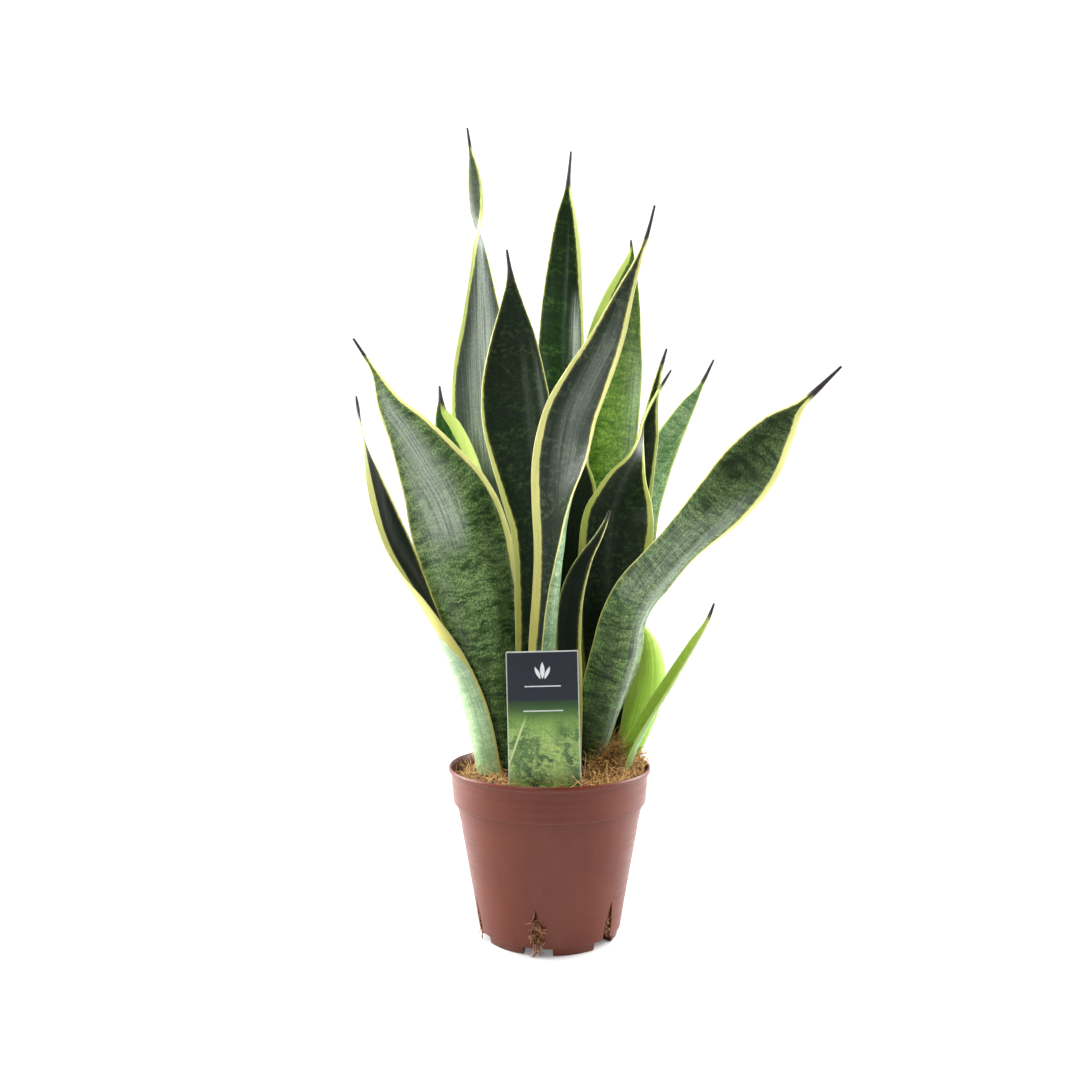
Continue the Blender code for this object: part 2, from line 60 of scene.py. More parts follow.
# Stations of each leaf, as in the CAD part: x, y, height above the compost and width in
# millimetres, then the way the channel faces and half the blade's turn across it, in degrees.
LEAVES = {
    "leaf_far_left": [
        (-37, -7, -15, 18, 130, 55), (-39, -7, 2, 24, 130, 55), (-47, -6, 38, 27, 125, 52),
        (-58, -7, 66, 28, 115, 50), (-70, -8, 92, 29, 92, 48), (-86, -7, 122, 29, 70, 42),
        (-98, -8, 150, 26, 62, 38), (-106, -10, 180, 18, 75, 32), (-110, -11, 203, 8, 100, 20),
        (-113, -12, 224, 1.4, 105, 10),
    ],
    "leaf_big_left": [
        (-25, -2, -15, 19, 192, 60), (-26, -2, 5, 24, 192, 58), (-29, -4, 30, 31, 194, 48),
        (-33, -6, 60, 38, 195, 38), (-40, -8, 102, 53, 195, 30), (-50, -10, 140, 60, 193, 27),
        (-59, -11, 165, 54, 191, 24), (-70, -12, 184, 41, 190, 22), (-81, -13, 202, 28, 190, 18),
        (-93, -14, 219, 15, 190, 14), (-102, -15, 238, 4, 190, 10), (-114, -16, 257, 1.4, 190, 10),
    ],
    "leaf_tall_left": [
        (-14, 33, -15, 22, -15, 60), (-16, 34, 5, 28, -15, 55), (-24, 37, 70, 34, -15, 38),
        (-32, 41, 140, 40, -15, 28), (-38, 44, 201, 46, -12, 24), (-41, 46, 246, 42, -10, 22),
        (-43, 47, 287, 24, 0, 18), (-44, 48, 314, 14, 18, 15), (-45, 48, 330, 10, 48, 15),
        (-45, 48, 338, 9, 95, 15), (-46, 48, 346, 10, 132, 15), (-47, 47, 356, 12, 146, 15),
        (-48, 46, 373, 9, 160, 15), (-50, 45, 389, 3, 165, 10), (-52, 43, 403, 1.4, 165, 10),
    ],
    "leaf_centre_left": [
        (-6, 1, -15, 18, -5, 60), (-6, 1, 5, 21, -5, 58), (-8, 1, 50, 25, -5, 48),
        (-8, 1, 100, 27, -5, 42), (-9, 1, 144, 29, -8, 38), (-12, 0, 166, 34, -10, 34),
        (-15, -1, 186, 39, -12, 30), (-18, -2, 210, 44, -12, 26), (-20, -4, 231, 41, -12, 23),
        (-21, -7, 258, 28, -10, 18), (-22, -10, 280, 13, -10, 14), (-23, -12, 295, 4, -10, 10),
        (-25, -15, 309, 1.4, -10, 10),
    ],
    "leaf_tall_centre": [
        (6, 25, -15, 22, 5, 60), (6, 25, 5, 27, 5, 55), (7, 27, 80, 33, 8, 40),
        (7, 28, 150, 37, 10, 32), (6, 30, 210, 36, 12, 28), (7, 31, 260, 31, 14, 25),
        (8, 32, 290, 27, 15, 22), (10, 34, 321, 21, 15, 18), (11, 36, 344, 13, 10, 14),
        (12, 38, 363, 4, 10, 10), (14, 41, 387, 1.4, 10, 10),
    ],
    "leaf_sweeping": [
        (-2, -20, -15, 26, -80, 60), (-1, -20, 5, 32, -80, 68), (1, -21, 70, 38, -76, 72),
        (5, -22, 130, 38, -68, 60), (6, -23, 161, 38, -50, 50), (8, -24, 187, 37, -27, 38),
        (12, -26, 210, 33, -15, 30), (20, -27, 228, 29, -10, 26), (30, -29, 248, 22, -8, 24),
        (37, -31, 265, 16, -5, 22), (43, -34, 281, 10, -5, 20), (49, -37, 296, 4.5, 0, 15),
        (54, -39, 310, 2.5, 0, 10), (58, -42, 326, 1.4, 0, 10),
    ],
    "leaf_back_right": [
        (18, 38, -15, 20, -5, 55), (18, 38, 5, 26, -5, 50), (23, 41, 70, 32, -5, 36),
        (31, 43, 130, 39, -5, 28), (34, 46, 190, 43, -5, 24), (37, 48, 222, 44, -5, 22),
        (40, 50, 251, 41, -5, 20), (43, 52, 274, 34, -5, 18), (47, 55, 295, 25, -5, 16),
        (51, 58, 313, 14, -5, 12), (54, 61, 328, 4, -5, 10), (54, 63, 337, 1.4, -5, 10),
    ],
    "leaf_short_left": [
        (-19, 20, -15, 16, -50, 55), (-20, 20, 5, 20, -50, 52), (-26, 22, 55, 26, -45, 50),
        (-34, 21, 100, 31, -38, 46), (-44, 19, 145, 35, -28, 42), (-51, 17, 172, 34, -22, 38),
        (-57, 15, 193, 29, -20, 32), (-61, 14, 207, 20, -20, 28), (-65, 14, 216, 10, -20, 20),
        (-66, 14, 224, 4, -20, 12), (-67, 15, 234, 1.4, -20, 10),
    ],
    "leaf_right_dark": [
        (30, 14, -15, 20, 0, 55), (31, 14, 5, 25, 0, 52), (35, 12, 50, 34, 0, 42),
        (36, 10, 95, 43, 0, 34), (39, 8, 133, 46, 0, 30), (41, 7, 151, 45, 0, 28),
        (43, 7, 162, 39, 5, 26), (46, 6, 175, 28, 15, 24), (51, 5, 188, 15, 35, 20),
        (54, 5, 200, 10, 65, 18), (56, 5, 211, 8, 80, 15), (61, 5, 222, 6, 80, 15),
        (67, 5, 232, 3.5, 80, 10), (73, 5, 242, 1.4, 80, 10),
    ],
    "leaf_right_inner": [
        (41, 23, -12, 12, -10, 50), (42, 23, 5, 15, -10, 50), (46, 24, 60, 18, -10, 45),
        (50, 25, 110, 19, -10, 42), (54, 26, 150, 18, -10, 40), (58, 26, 180, 16, -10, 38),
        (62, 27, 204, 13, -10, 35), (64, 27, 222, 8, -10, 25), (68, 27, 242, 4, -10, 15),
        (73, 27, 259, 1.4, -10, 10),
    ],
    "leaf_right_back": [
        (36, 34, -12, 12, -15, 50), (38, 34, 8, 16, -15, 48), (50, 41, 70, 21, -15, 38),
        (56, 48, 125, 25, -20, 30), (61, 51, 160, 26, -25, 26), (69, 53, 185, 23, -25, 22),
        (77, 54, 203, 19, -25, 18), (84, 55, 216, 15, -25, 16), (91, 55, 228, 10, -25, 14),
        (98, 55, 239, 4, -25, 10), (107, 55, 257, 1.4, -25, 10),
    ],
    "leaf_far_right": [
        (20, -4, -15, 22, 195, 60), (22, -5, 4, 26, 196, 60), (26, -7, 20, 29, 198, 58),
        (31, -10, 36, 31, 200, 54), (36, -13, 54, 35, 200, 48), (41, -18, 73, 36, 200, 44),
        (44, -23, 91, 33, 200, 42), (51, -29, 108, 31, 198, 42), (62, -34, 123, 28, 196, 40),
        (72, -38, 135, 27, 195, 36), (81, -42, 145, 29, 194, 30), (95, -47, 160, 34, 192, 24),
        (110, -53, 180, 34, 190, 20), (123, -58, 199, 22, 190, 18), (134, -62, 212, 6, 190, 14),
        (144, -65, 222, 3, 190, 10), (154, -68, 232, 1.4, 190, 10),
    ],
    "leaf_inner_dark": [
        (12.5, -9, -15, 13, -10, 50), (12.5, -9, 5, 15, -10, 48), (12, -9, 50, 16, -10, 40),
        (11.3, -9.5, 85, 16, -10, 35), (12.8, -10.5, 105, 15, -10, 32), (17, -12, 120, 12, -10, 28),
        (22, -13, 131, 8, -10, 22), (28, -13, 141, 5, -10, 15), (32, -13, 149, 3, -10, 10),
        (35, -13, 157, 1.4, -10, 10),
    ],
    "leaf_hidden": [
        (10, 9, -15, 14, -5, 50), (10, 9, 5, 18, -5, 48), (10, 13, 60, 22, -5, 38),
        (12, 17, 110, 27, -5, 32), (14, 18, 150, 30, -5, 28), (15, 18, 170, 28, -5, 24),
        (14, 18, 185, 20, -5, 20), (13, 18, 197, 9, -5, 14), (12, 18, 206, 3, -5, 10),
        (11, 18, 215, 1.4, -5, 10),
    ],
    "leaf_low_right": [
        (43, -9, -12, 12, -80, 50), (45, -9, 3, 18, -80, 60), (50, -10, 18, 19, -80, 60),
        (58, -11, 34, 16, -78, 58), (67, -13, 50, 13, -75, 55), (76, -15, 66, 11, -75, 50),
        (85, -17, 82, 8, -75, 35), (91, -18, 93, 3.5, -75, 15), (95, -18, 103, 1.4, -75, 10),
    ],
    "leaf_young_right": [
        (44, 5, -12, 12, 200, 50), (46, 5, 5, 17, 200, 50), (53, 4, 24, 23, 200, 44),
        (58, 3, 44, 26, 200, 38), (60, 2, 62, 24, 200, 32), (59, 1, 76, 16, 200, 26),
        (56, 1, 86, 6, 200, 15), (54, 0, 94, 1.4, 200, 10),
    ],
}

# How each leaf is coloured: palette of the inner and of the outer side, how strong the bands of
# each are, width in millimetres of the first and the second yellow margin near the base, in the
# middle and near the tip, tint of the margins, how light the upper half is beside the lower one,
# and length of the dry, dark awl. The first margin is on the viewer's left where the channelled
# side faces the front.
LOOKS = {
    "leaf_far_left": ("night", "frost", 0.3, 0.6, (1.0, 12.0, 9.0), (0.9, 1.2, 1.2), "cream", 1.0, 15),
    "leaf_big_left": ("dark", "mid", 0.6, 1.0, (2.0, 5.4, 2.0), (0.9, 0.9, 0.9), "cream", 0.95, 13),
    "leaf_tall_left": ("ash", "slate", 0.35, 0.5, (2.0, 2.4, 2.6), (0.5, 0.6, 0.9), "lemon", 1.0, 12),
    "leaf_centre_left": ("dark", "mid", 0.6, 0.6, (3.6, 3.4, 0.8), (0.5, 0.5, 0.5), "olive", 0.8, 17),
    "leaf_tall_centre": ("pine", "mid", 1.0, 0.6, (0.5, 0.5, 0.5), (1.2, 2.2, 2.4), "lemon", 0.5, 24),
    "leaf_sweeping": ("slate", "light", 0.7, 0.8, (5.4, 5.0, 0.9), (0.5, 1.2, 2.6), "cream", 1.0, 20),
    "leaf_back_right": ("bright", "bright", 1.0, 1.0, (5.0, 6.2, 7.0), (0.7, 0.7, 0.7), "lime", 0.42, 6),
    "leaf_short_left": ("moss", "lime", 0.5, 0.5, (1.0, 1.0, 1.0), (8.0, 12.0, 11.0), "lime", 1.0, 13),
    "leaf_right_dark": ("dark", "dark", 0.6, 0.5, (3.0, 5.4, 1.6), (3.0, 5.4, 1.4), "moss", 0.9, 12),
    "leaf_right_inner": ("dark", "mid", 0.5, 0.5, (1.0, 1.2, 1.0), (2.0, 3.4, 1.8), "olive", 1.0, 12),
    "leaf_right_back": ("light", "light", 1.0, 1.0, (1.0, 1.2, 0.9), (0.8, 0.8, 0.8), "lime", 1.0, 16),
    "leaf_far_right": ("dark", "mid", 0.5, 1.0, (0.4, 1.6, 4.6), (0.6, 0.7, 1.1), "cream", 0.55, 22),
    "leaf_inner_dark": ("night", "night", 0.2, 0.2, (0.4, 0.5, 0.4), (2.0, 1.8, 0.5), "cream", 1.0, 6),
    "leaf_hidden": ("night", "dark", 0.4, 0.4, (2.2, 2.2, 1.5), (2.2, 2.6, 1.5), "moss", 1.0, 10),
    "leaf_low_right": ("lime", "teal", 0.4, 0.4, (0.8, 1.2, 0.8), (1.2, 1.8, 1.0), "lime", 1.0, 8),
    "leaf_young_right": ("lime", "lime", 0.45, 0.45, (0.8, 0.8, 0.8), (2.2, 2.6, 1.6), "lime", 1.0, 1),
}

# Painted sheen of a leaf, pale streaks that stand in for highlights: place and reach across the
# blade from -1 to 1, first and last share of its length, height in millimetres of the soft ridge
# under it on the outer side, strength. A streak of negative strength is painted shade, a deeper
# green, instead.
PAINTED_SHEEN_AND_SHADE = {
    "leaf_big_left": ((0.20, 0.44, 0.50, 0.92, 0.5, 0.85), (0.65, 0.14, 0.25, 0.80, 0.0, 0.16),
                      (-0.50, 0.30, 0.10, 0.66, 0.0, -0.75), (0.1, 0.9, -0.1, 0.30, 0.0, -0.45)),
    "leaf_tall_left": ((0.10, 0.48, 0.46, 0.86, 0.0, 1.15), (-0.45, 0.12, 0.3, 0.7, 0.0, 0.16)),
    "leaf_centre_left": ((0.35, 0.10, 0.45, 0.85, 0.0, 0.08), (0.78, 0.08, 0.45, 0.85, 0.0, 0.22)),
    "leaf_tall_centre": ((0.66, 0.18, 0.35, 0.78, 0.0, 1.6), (0.15, 0.10, 0.6, 0.9, 0.0, 0.10)),
    "leaf_sweeping": ((0.15, 0.36, 0.50, 0.86, 0.0, 0.26), (-0.25, 0.10, 0.50, 0.85, 0.0, 0.14)),
    "leaf_back_right": ((0.85, 0.22, 0.35, 0.80, 0.0, 0.40),),
    "leaf_far_right": ((-0.42, 0.22, 0.04, 0.74, 1.4, 0.60), (0.05, 0.14, 0.42, 0.80, 0.3, 0.22),
                       (0.40, 0.50, 0.36, 0.66, 0.0, 0.28), (0.45, 0.38, 0.04, 0.43, 0.0, -0.80),
                       (0.50, 0.50, 0.66, 0.96, 0.0, -0.70)),
    "leaf_right_dark": ((-0.15, 0.12, 0.4, 0.85, 0.0, 0.08),),
}

# Dark and light colour of each palette, for the bands and the ground between them.
PALETTES = {
    "night": ((0.004, 0.010, 0.006), (0.013, 0.026, 0.010)),
    "dark": ((0.004, 0.012, 0.005), (0.048, 0.088, 0.023)),
    "pine": ((0.008, 0.028, 0.007), (0.055, 0.135, 0.024)),
    "slate": ((0.018, 0.028, 0.019), (0.095, 0.125, 0.075)),
    # ash is a pale grey green as painted sheen, standing in for the broad highlight on a glossy blade.
    "ash": ((0.034, 0.048, 0.038), (0.120, 0.150, 0.115)),
    "moss": ((0.012, 0.060, 0.008), (0.045, 0.160, 0.018)),
    "mid": ((0.020, 0.052, 0.012), (0.250, 0.385, 0.140)),
    "light": ((0.058, 0.132, 0.050), (0.280, 0.390, 0.220)),
    # bright, and in part lime, are lightened as painted light, standing in for light shining through thin
    # backlit blades.
    "bright": ((0.064, 0.150, 0.014), (0.280, 0.450, 0.070)),
    "lime": ((0.300, 0.470, 0.045), (0.460, 0.620, 0.130)),
    "frost": ((0.240, 0.360, 0.230), (0.700, 0.800, 0.640)),
    "teal": ((0.220, 0.360, 0.220), (0.400, 0.560, 0.380)),
}
# Palettes whose bands show as clearly on the channelled side.
BANDED = ("bright", "light", "lime", "frost", "teal")

# The margins' shade low on the leaf and higher up.
TINTS = {
    "cream": ((0.40, 0.36, 0.070), (0.78, 0.76, 0.28)),
    "lemon": ((0.34, 0.38, 0.08), (0.66, 0.72, 0.24)),
    "olive": ((0.32, 0.30, 0.050), (0.60, 0.64, 0.20)),
    "moss": ((0.22, 0.21, 0.035), (0.50, 0.54, 0.12)),
    "lime": ((0.30, 0.42, 0.06), (0.47, 0.59, 0.14)),
}


# ---------------------------------------------------------------- nodes


class Tree:
    """A material's node tree, with short ways to add to it."""

    def __init__(self, name):
        self.material = bpy.data.materials.new(name)
        self.material.use_nodes = True
        self.tree = self.material.node_tree
        self.shader = self.tree.nodes["Principled BSDF"]

    def add(self, kind, inputs=None, **settings):
        node = self.tree.nodes.new(kind)
        for key, value in settings.items():
            setattr(node, key, value)
        for key, value in (inputs or {}).items():
            self.feed(node.inputs[key], value)
        return node

    def feed(self, socket, value):
        if isinstance(value, bpy.types.NodeSocket):
            self.tree.links.new(value, socket)
        elif isinstance(value, tuple) and socket.type == "RGBA":
            socket.default_value = (*value, 1) if len(value) == 3 else value
        else:
            socket.default_value = value

    def set(self, **values):
        names = {"color": "Base Color", "roughness": "Roughness", "normal": "Normal",
                 "specular": "Specular IOR Level"}
        for key, value in values.items():
            self.feed(self.shader.inputs[names[key]], value)

    def math(self, operation, a, b=0.0, clamp=False):
        node = self.add("ShaderNodeMath", {0: a, 1: b}, operation=operation, use_clamp=clamp)
        return node.outputs[0]

    def plus(self, a, b, clamp=False):
        return self.math("ADD", a, b, clamp)

    def minus(self, a, b):
        return self.math("SUBTRACT", a, b)

    def times(self, a, b, clamp=False):
        return self.math("MULTIPLY", a, b, clamp)

    def size(self, a):
        return self.math("ABSOLUTE", a)

    def most(self, a, b):
        return self.math("MAXIMUM", a, b)

    def swing(self, noise, size):
        """A noise made to lie about zero, over this much."""
        return self.times(self.minus(noise, 0.5), size)

    def mix(self, factor, a, b, blend="MIX"):
        node = self.add("ShaderNodeMix", data_type="RGBA", blend_type=blend)
        # Inputs 6 and 7 take the two colours, and output 2 gives the mixed one.
        for socket, value in (("Factor", factor), (6, a), (7, b)):
            self.feed(node.inputs[socket], value)
        return node.outputs[2]

    def tint(self, color, by):
        return self.mix(1.0, color, by, "MULTIPLY")

    def ramp(self, value, low, high, a=0.0, b=1.0):
        """A smooth step from a, where the value is low or less, to b, where it is high."""
        inputs = {"Value": value, "From Min": low, "From Max": high, "To Min": a, "To Max": b}
        node = self.add("ShaderNodeMapRange", inputs, interpolation_type="SMOOTHSTEP")
        return node.outputs[0]

    def attribute(self, name):
        """The three values of a mesh attribute."""
        return self.split(self.add("ShaderNodeAttribute", attribute_name=name).outputs["Vector"])

    def split(self, vector):
        return self.add("ShaderNodeSeparateXYZ", {0: vector}).outputs

    def join(self, x, y, z):
        return self.add("ShaderNodeCombineXYZ", {0: x, 1: y, 2: z}).outputs[0]

    def noise(self, vector, scale, detail, roughness=0.5):
        node = self.add("ShaderNodeTexNoise", {"Vector": vector, "Scale": scale, "Detail": detail,
                                               "Roughness": roughness})
        return node.outputs[0]

    def object_coords(self):
        return self.add("ShaderNodeTexCoord").outputs["Object"]

    def bump(self, height, strength, distance):
        inputs = {"Height": height, "Strength": strength, "Distance": distance}
        return self.add("ShaderNodeBump", inputs).outputs[0]


# ---------------------------------------------------------------- smooth curves


def smooth(knots, values, at):
    """The cubic Hermite curve through the values at uneven knots, at many places."""
    knots, values = np.asarray(knots, float), np.asarray(values, float)
    before = np.maximum(np.arange(len(knots)) - 1, 0)
    after = np.minimum(np.arange(len(knots)) + 1, len(knots) - 1)
    span = (knots[after] - knots[before])
    shape = (-1,) + (1,) * (values.ndim - 1)
    rise = (values[after] - values[before]) / span.reshape(shape)
    i = np.clip(np.searchsorted(knots, at, side="right") - 1, 0, len(knots) - 2)
    width = knots[i + 1] - knots[i]
    t = ((at - knots[i]) / width).reshape(shape)
    width = width.reshape(shape)
    return (
        values[i] * (2 * t**3 - 3 * t**2 + 1)
        + rise[i] * width * (t**3 - 2 * t**2 + t)
        + values[i + 1] * (3 * t**2 - 2 * t**3)
        + rise[i + 1] * width * (t**3 - t**2)
    )


def unit(vectors):
    return vectors / np.maximum(np.linalg.norm(vectors, axis=-1, keepdims=True), 1e-12)


# ---------------------------------------------------------------- meshes


def in_scene(name, data):
    """An object in the scene of this mesh, light or camera."""
    obj = bpy.data.objects.new(name, data)
    bpy.context.scene.collection.objects.link(obj)
    return obj


def piece(name, mesh, slot, *nodes):
    """A visible piece that rides on the part's one body and stands for CAD nodes."""
    obj = in_scene(name, mesh)
    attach(obj, "root")
    if nodes:
        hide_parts(*nodes)
    return obj


def mesh_of(name, points, faces, material):
    mesh = bpy.data.meshes.new(name)
    mesh.from_pydata([tuple(p) for p in points], [], [tuple(f) for f in faces])
    mesh.shade_smooth()
    mesh.materials.append(material)
    mesh.update()
    return mesh


def float_vectors(mesh, name, values):
    layer = mesh.attributes.new(name, "FLOAT_VECTOR", "POINT")
    layer.data.foreach_set("vector", np.asarray(values, np.float32).reshape(-1))


def circle(count):
    """Angles evenly round a circle."""
    return [2 * math.pi * k / count for k in range(count)]


def tube_faces(start, rings, sides):
    """The faces between rings of points, the first of which is at index start."""
    faces = []
    for low in range(start, start + (rings - 1) * sides, sides):
        for s in range(sides):
            e = (s + 1) % sides
            faces.append((low + s, low + sides + s, low + sides + e, low + e))
    return faces


# ---------------------------------------------------------------- leaves

LEAF_ROWS = 150
LEAF_COLUMNS = 26
ROW_CROWDING = 1.15  # over 1, the rows stand closer together towards the tip
COLUMN_CROWDING = 0.97  # the share of a quarter turn whose sine spaces the columns
TIP_WIDTH = 1.4 * MM
AWL_WIDTH, AWL_FULL_WIDTH = 5 * MM, 1.8 * MM  # where the blade starts to turn round, and is round
WAVE_HEIGHT = 1.1 * MM
GROOVE_DEPTH = 0.10 * MM
MARGIN_STOPS = (0.0, 0.32, 0.5, 0.82, 0.97)  # the shares of the length where a margin's widths hold
CALM_WIDTH = 26 * MM  # a narrower blade waves less
MIDRIB_THICKNESS = 2.7 * MM
MARGIN_THICKNESS = 0.9 * MM


def margin_widths(margin, t):
    """The margin's width along the blade, in millimetres, from its three widths."""
    base, middle, top = margin
    return np.interp(t, MARGIN_STOPS, (base, base, middle, top, 0.5 * top))


def leaf_mesh(name, leaf, material, seed, margins, awl_length, sheen_shade_streaks):
    """A closed blade: its inner side, then its outer side, in one ring of points per row.

    Attribute blade holds how far across, how far along and how far in from the nearest yellow
    margin a point is, in millimetres. Attribute side holds 0 inside and 1 outside, the distance
    up to the awl and the distance to the very edge. The last attribute holds painted sheen, pale
    streaks standing in for highlights, and where it is negative painted shade, a deeper green."""
    table = np.array(leaf, float)
    places = np.column_stack([table[:, :2] * (SPREAD * MM), SOIL_LEVEL + table[:, 2] * MM])
    knots = np.concatenate([[0], np.cumsum(np.linalg.norm(np.diff(places, axis=0), axis=1))])
    total = knots[-1]
    at = total * (1 - (1 - np.linspace(0, 1, LEAF_ROWS)) ** ROW_CROWDING)
    centre = smooth(knots, places, at)
    along = unit(np.gradient(centre, at, axis=0))
    turn = np.radians(smooth(knots, table[:, 4], at))
    width = np.maximum(smooth(knots, table[:, 3] * MM, at), TIP_WIDTH)
    fold = np.maximum(np.radians(smooth(knots, table[:, 5], at)), 0.05)
    facing = np.column_stack([np.sin(turn), -np.cos(turn), np.zeros(len(at))])
    facing = unit(facing - (facing * along).sum(1, keepdims=True) * along)
    across = np.cross(along, facing)

    most = math.pi / 2 * COLUMN_CROWDING
    share = np.sin(np.linspace(-1, 1, LEAF_COLUMNS) * most) / math.sin(most)
    v = np.concatenate([share, share[-2:0:-1]])
    side = np.concatenate([np.zeros(LEAF_COLUMNS), np.ones(LEAF_COLUMNS - 2)])
    out = np.where(side > 0.5, -1.0, 1.0)

    t = (at / total)[:, None]
    bend = (width / (2 * fold))[:, None]
    angle = fold[:, None] * v[None, :]
    normal = (
        np.cos(angle)[..., None] * facing[:, None, :]
        - np.sin(angle)[..., None] * across[:, None, :]
    )
    middle = (
        centre[:, None, :]
        + (bend * np.sin(angle))[..., None] * across[:, None, :]
        + (bend * (1 - np.cos(angle)))[..., None] * facing[:, None, :]
    )
    thin = 1 - 0.55 * np.clip((t - 0.65) / 0.35, 0, 1) ** 2
    thin = thin * (1 + 0.35 * np.clip(1 - t / 0.18, 0, 1))
    half = 0.5 * (MARGIN_THICKNESS + (MIDRIB_THICKNESS - MARGIN_THICKNESS) * (1 - np.abs(v) ** 2.0))
    half = half[None, :] * thin * np.sqrt(np.clip(1 - np.abs(v) ** 14, 0, 1))[None, :]
    # The awl is round: as thick as it is wide.
    awl = np.clip((AWL_WIDTH - width) / (AWL_WIDTH - AWL_FULL_WIDTH), 0, 1)[:, None]
    round_half = 0.42 * width[:, None] * np.sqrt(np.clip(1 - v**2, 0, 1))[None, :]
    half = half * (1 - awl) + round_half * awl
    points = middle + (half * out[None, :])[..., None] * normal

    # Slow waves along the blade, shallow grooves down it, and margins that wander a little.
    wave = np.empty(points.shape[:2])
    groove = np.empty_like(wave)
    for i in range(points.shape[0]):
        for j in range(points.shape[1]):
            l, a = at[i] / MM, v[j] * width[i] / 2 / MM
            wave[i, j] = noise.noise((l / 34, a / 22, seed))
            wave[i, j] += 0.35 * noise.noise((l / 12, a / 9, seed + 7))
            groove[i, j] = noise.noise((l / 90, a / 1.9, seed + 3 + 5 * side[j]))
    calm = np.clip(width / CALM_WIDTH, 0, 1)[:, None] * np.clip(t * 6, 0, 1)
    push = wave * calm * (0.25 + 0.75 * np.abs(v) ** 1.5)[None, :] * WAVE_HEIGHT
    # Painted sheen, pale streaks standing in for highlights, and painted shade where the strength is
    # negative.
    sheen_and_shade = np.zeros(points.shape[:2])
    for place, reach, start, end, ridge, strength in sheen_shade_streaks:
        near = np.exp(-(((v - place) / reach) ** 2))[None, :]
        span = np.clip((t - start) / 0.08, 0, 1) * np.clip((end - t) / 0.08, 0, 1)
        sheen_and_shade += strength * near * span
        push = push + ridge * MM * near * span * np.where(side > 0.5, -1.0, 0.0)[None, :]
    push = push + groove * out[None, :] * calm * (1 - np.abs(v) ** 6)[None, :] * GROOVE_DEPTH
    points = points + push[..., None] * normal

    rows, ring = points.shape[:2]
    index = np.arange(rows * ring).reshape(rows, ring)
    low, high = index[:-1], index[1:]
    faces = np.stack([low, np.roll(low, -1, 1), np.roll(high, -1, 1), high], -1).reshape(-1, 4)
    faces = [tuple(f) for f in faces[:, ::-1]]
    faces.append(tuple(index[0]))
    faces.append(tuple(index[-1][::-1]))
    mesh = mesh_of(name, points.reshape(-1, 3), faces, material)
    flat = (v[None, :] * width[:, None]) / 2 / MM
    edge = (1 - np.abs(v))[None, :] * width[:, None] / 2 / MM
    first, second = (margin_widths(margin, t[:, 0])[:, None] for margin in margins)
    second_share = np.clip(0.5 + 3 * v, 0, 1)[None, :]
    sway = [1 + 0.35 * noise.noise((l / MM / 40, seed, 2.5)) for l in at]
    reach = (first * (1 - second_share) + second * second_share) * np.array(sway)[:, None]
    lengths = np.broadcast_to(at[:, None] / MM, flat.shape)
    float_vectors(mesh, "blade", np.stack([flat, lengths, edge - reach], -1).reshape(-1, 3))
    tips = np.broadcast_to((total - at)[:, None] / MM - awl_length, flat.shape)
    sides = np.broadcast_to(side, flat.shape)
    float_vectors(mesh, "side", np.stack([sides, tips, edge], -1).reshape(-1, 3))
    float_vectors(mesh, "sheen_and_shade", np.stack([sheen_and_shade] * 3, -1).reshape(-1, 3))
    return mesh


MEAN_LIGHT = 0.42  # of the bands, for a side that shows them only in part
# Yellower, and darker as painted shade, towards the base of the blade.
BASE_YELLOW_SHADE_TINT = (0.52, 0.66, 0.36)
# Colour of the painted shade.
PAINTED_SHADE_TINT = (0.22, 0.26, 0.16)
GREENER_TINT = (0.62, 0.78, 0.60)
# Colour of the painted sheen that stands in for highlights.
PAINTED_SHEEN_COLOR = (0.50, 0.57, 0.49)
EDGE_COLOR = (0.58, 0.58, 0.32)
AWL_COLORS = ((0.018, 0.015, 0.014), (0.062, 0.050, 0.044))


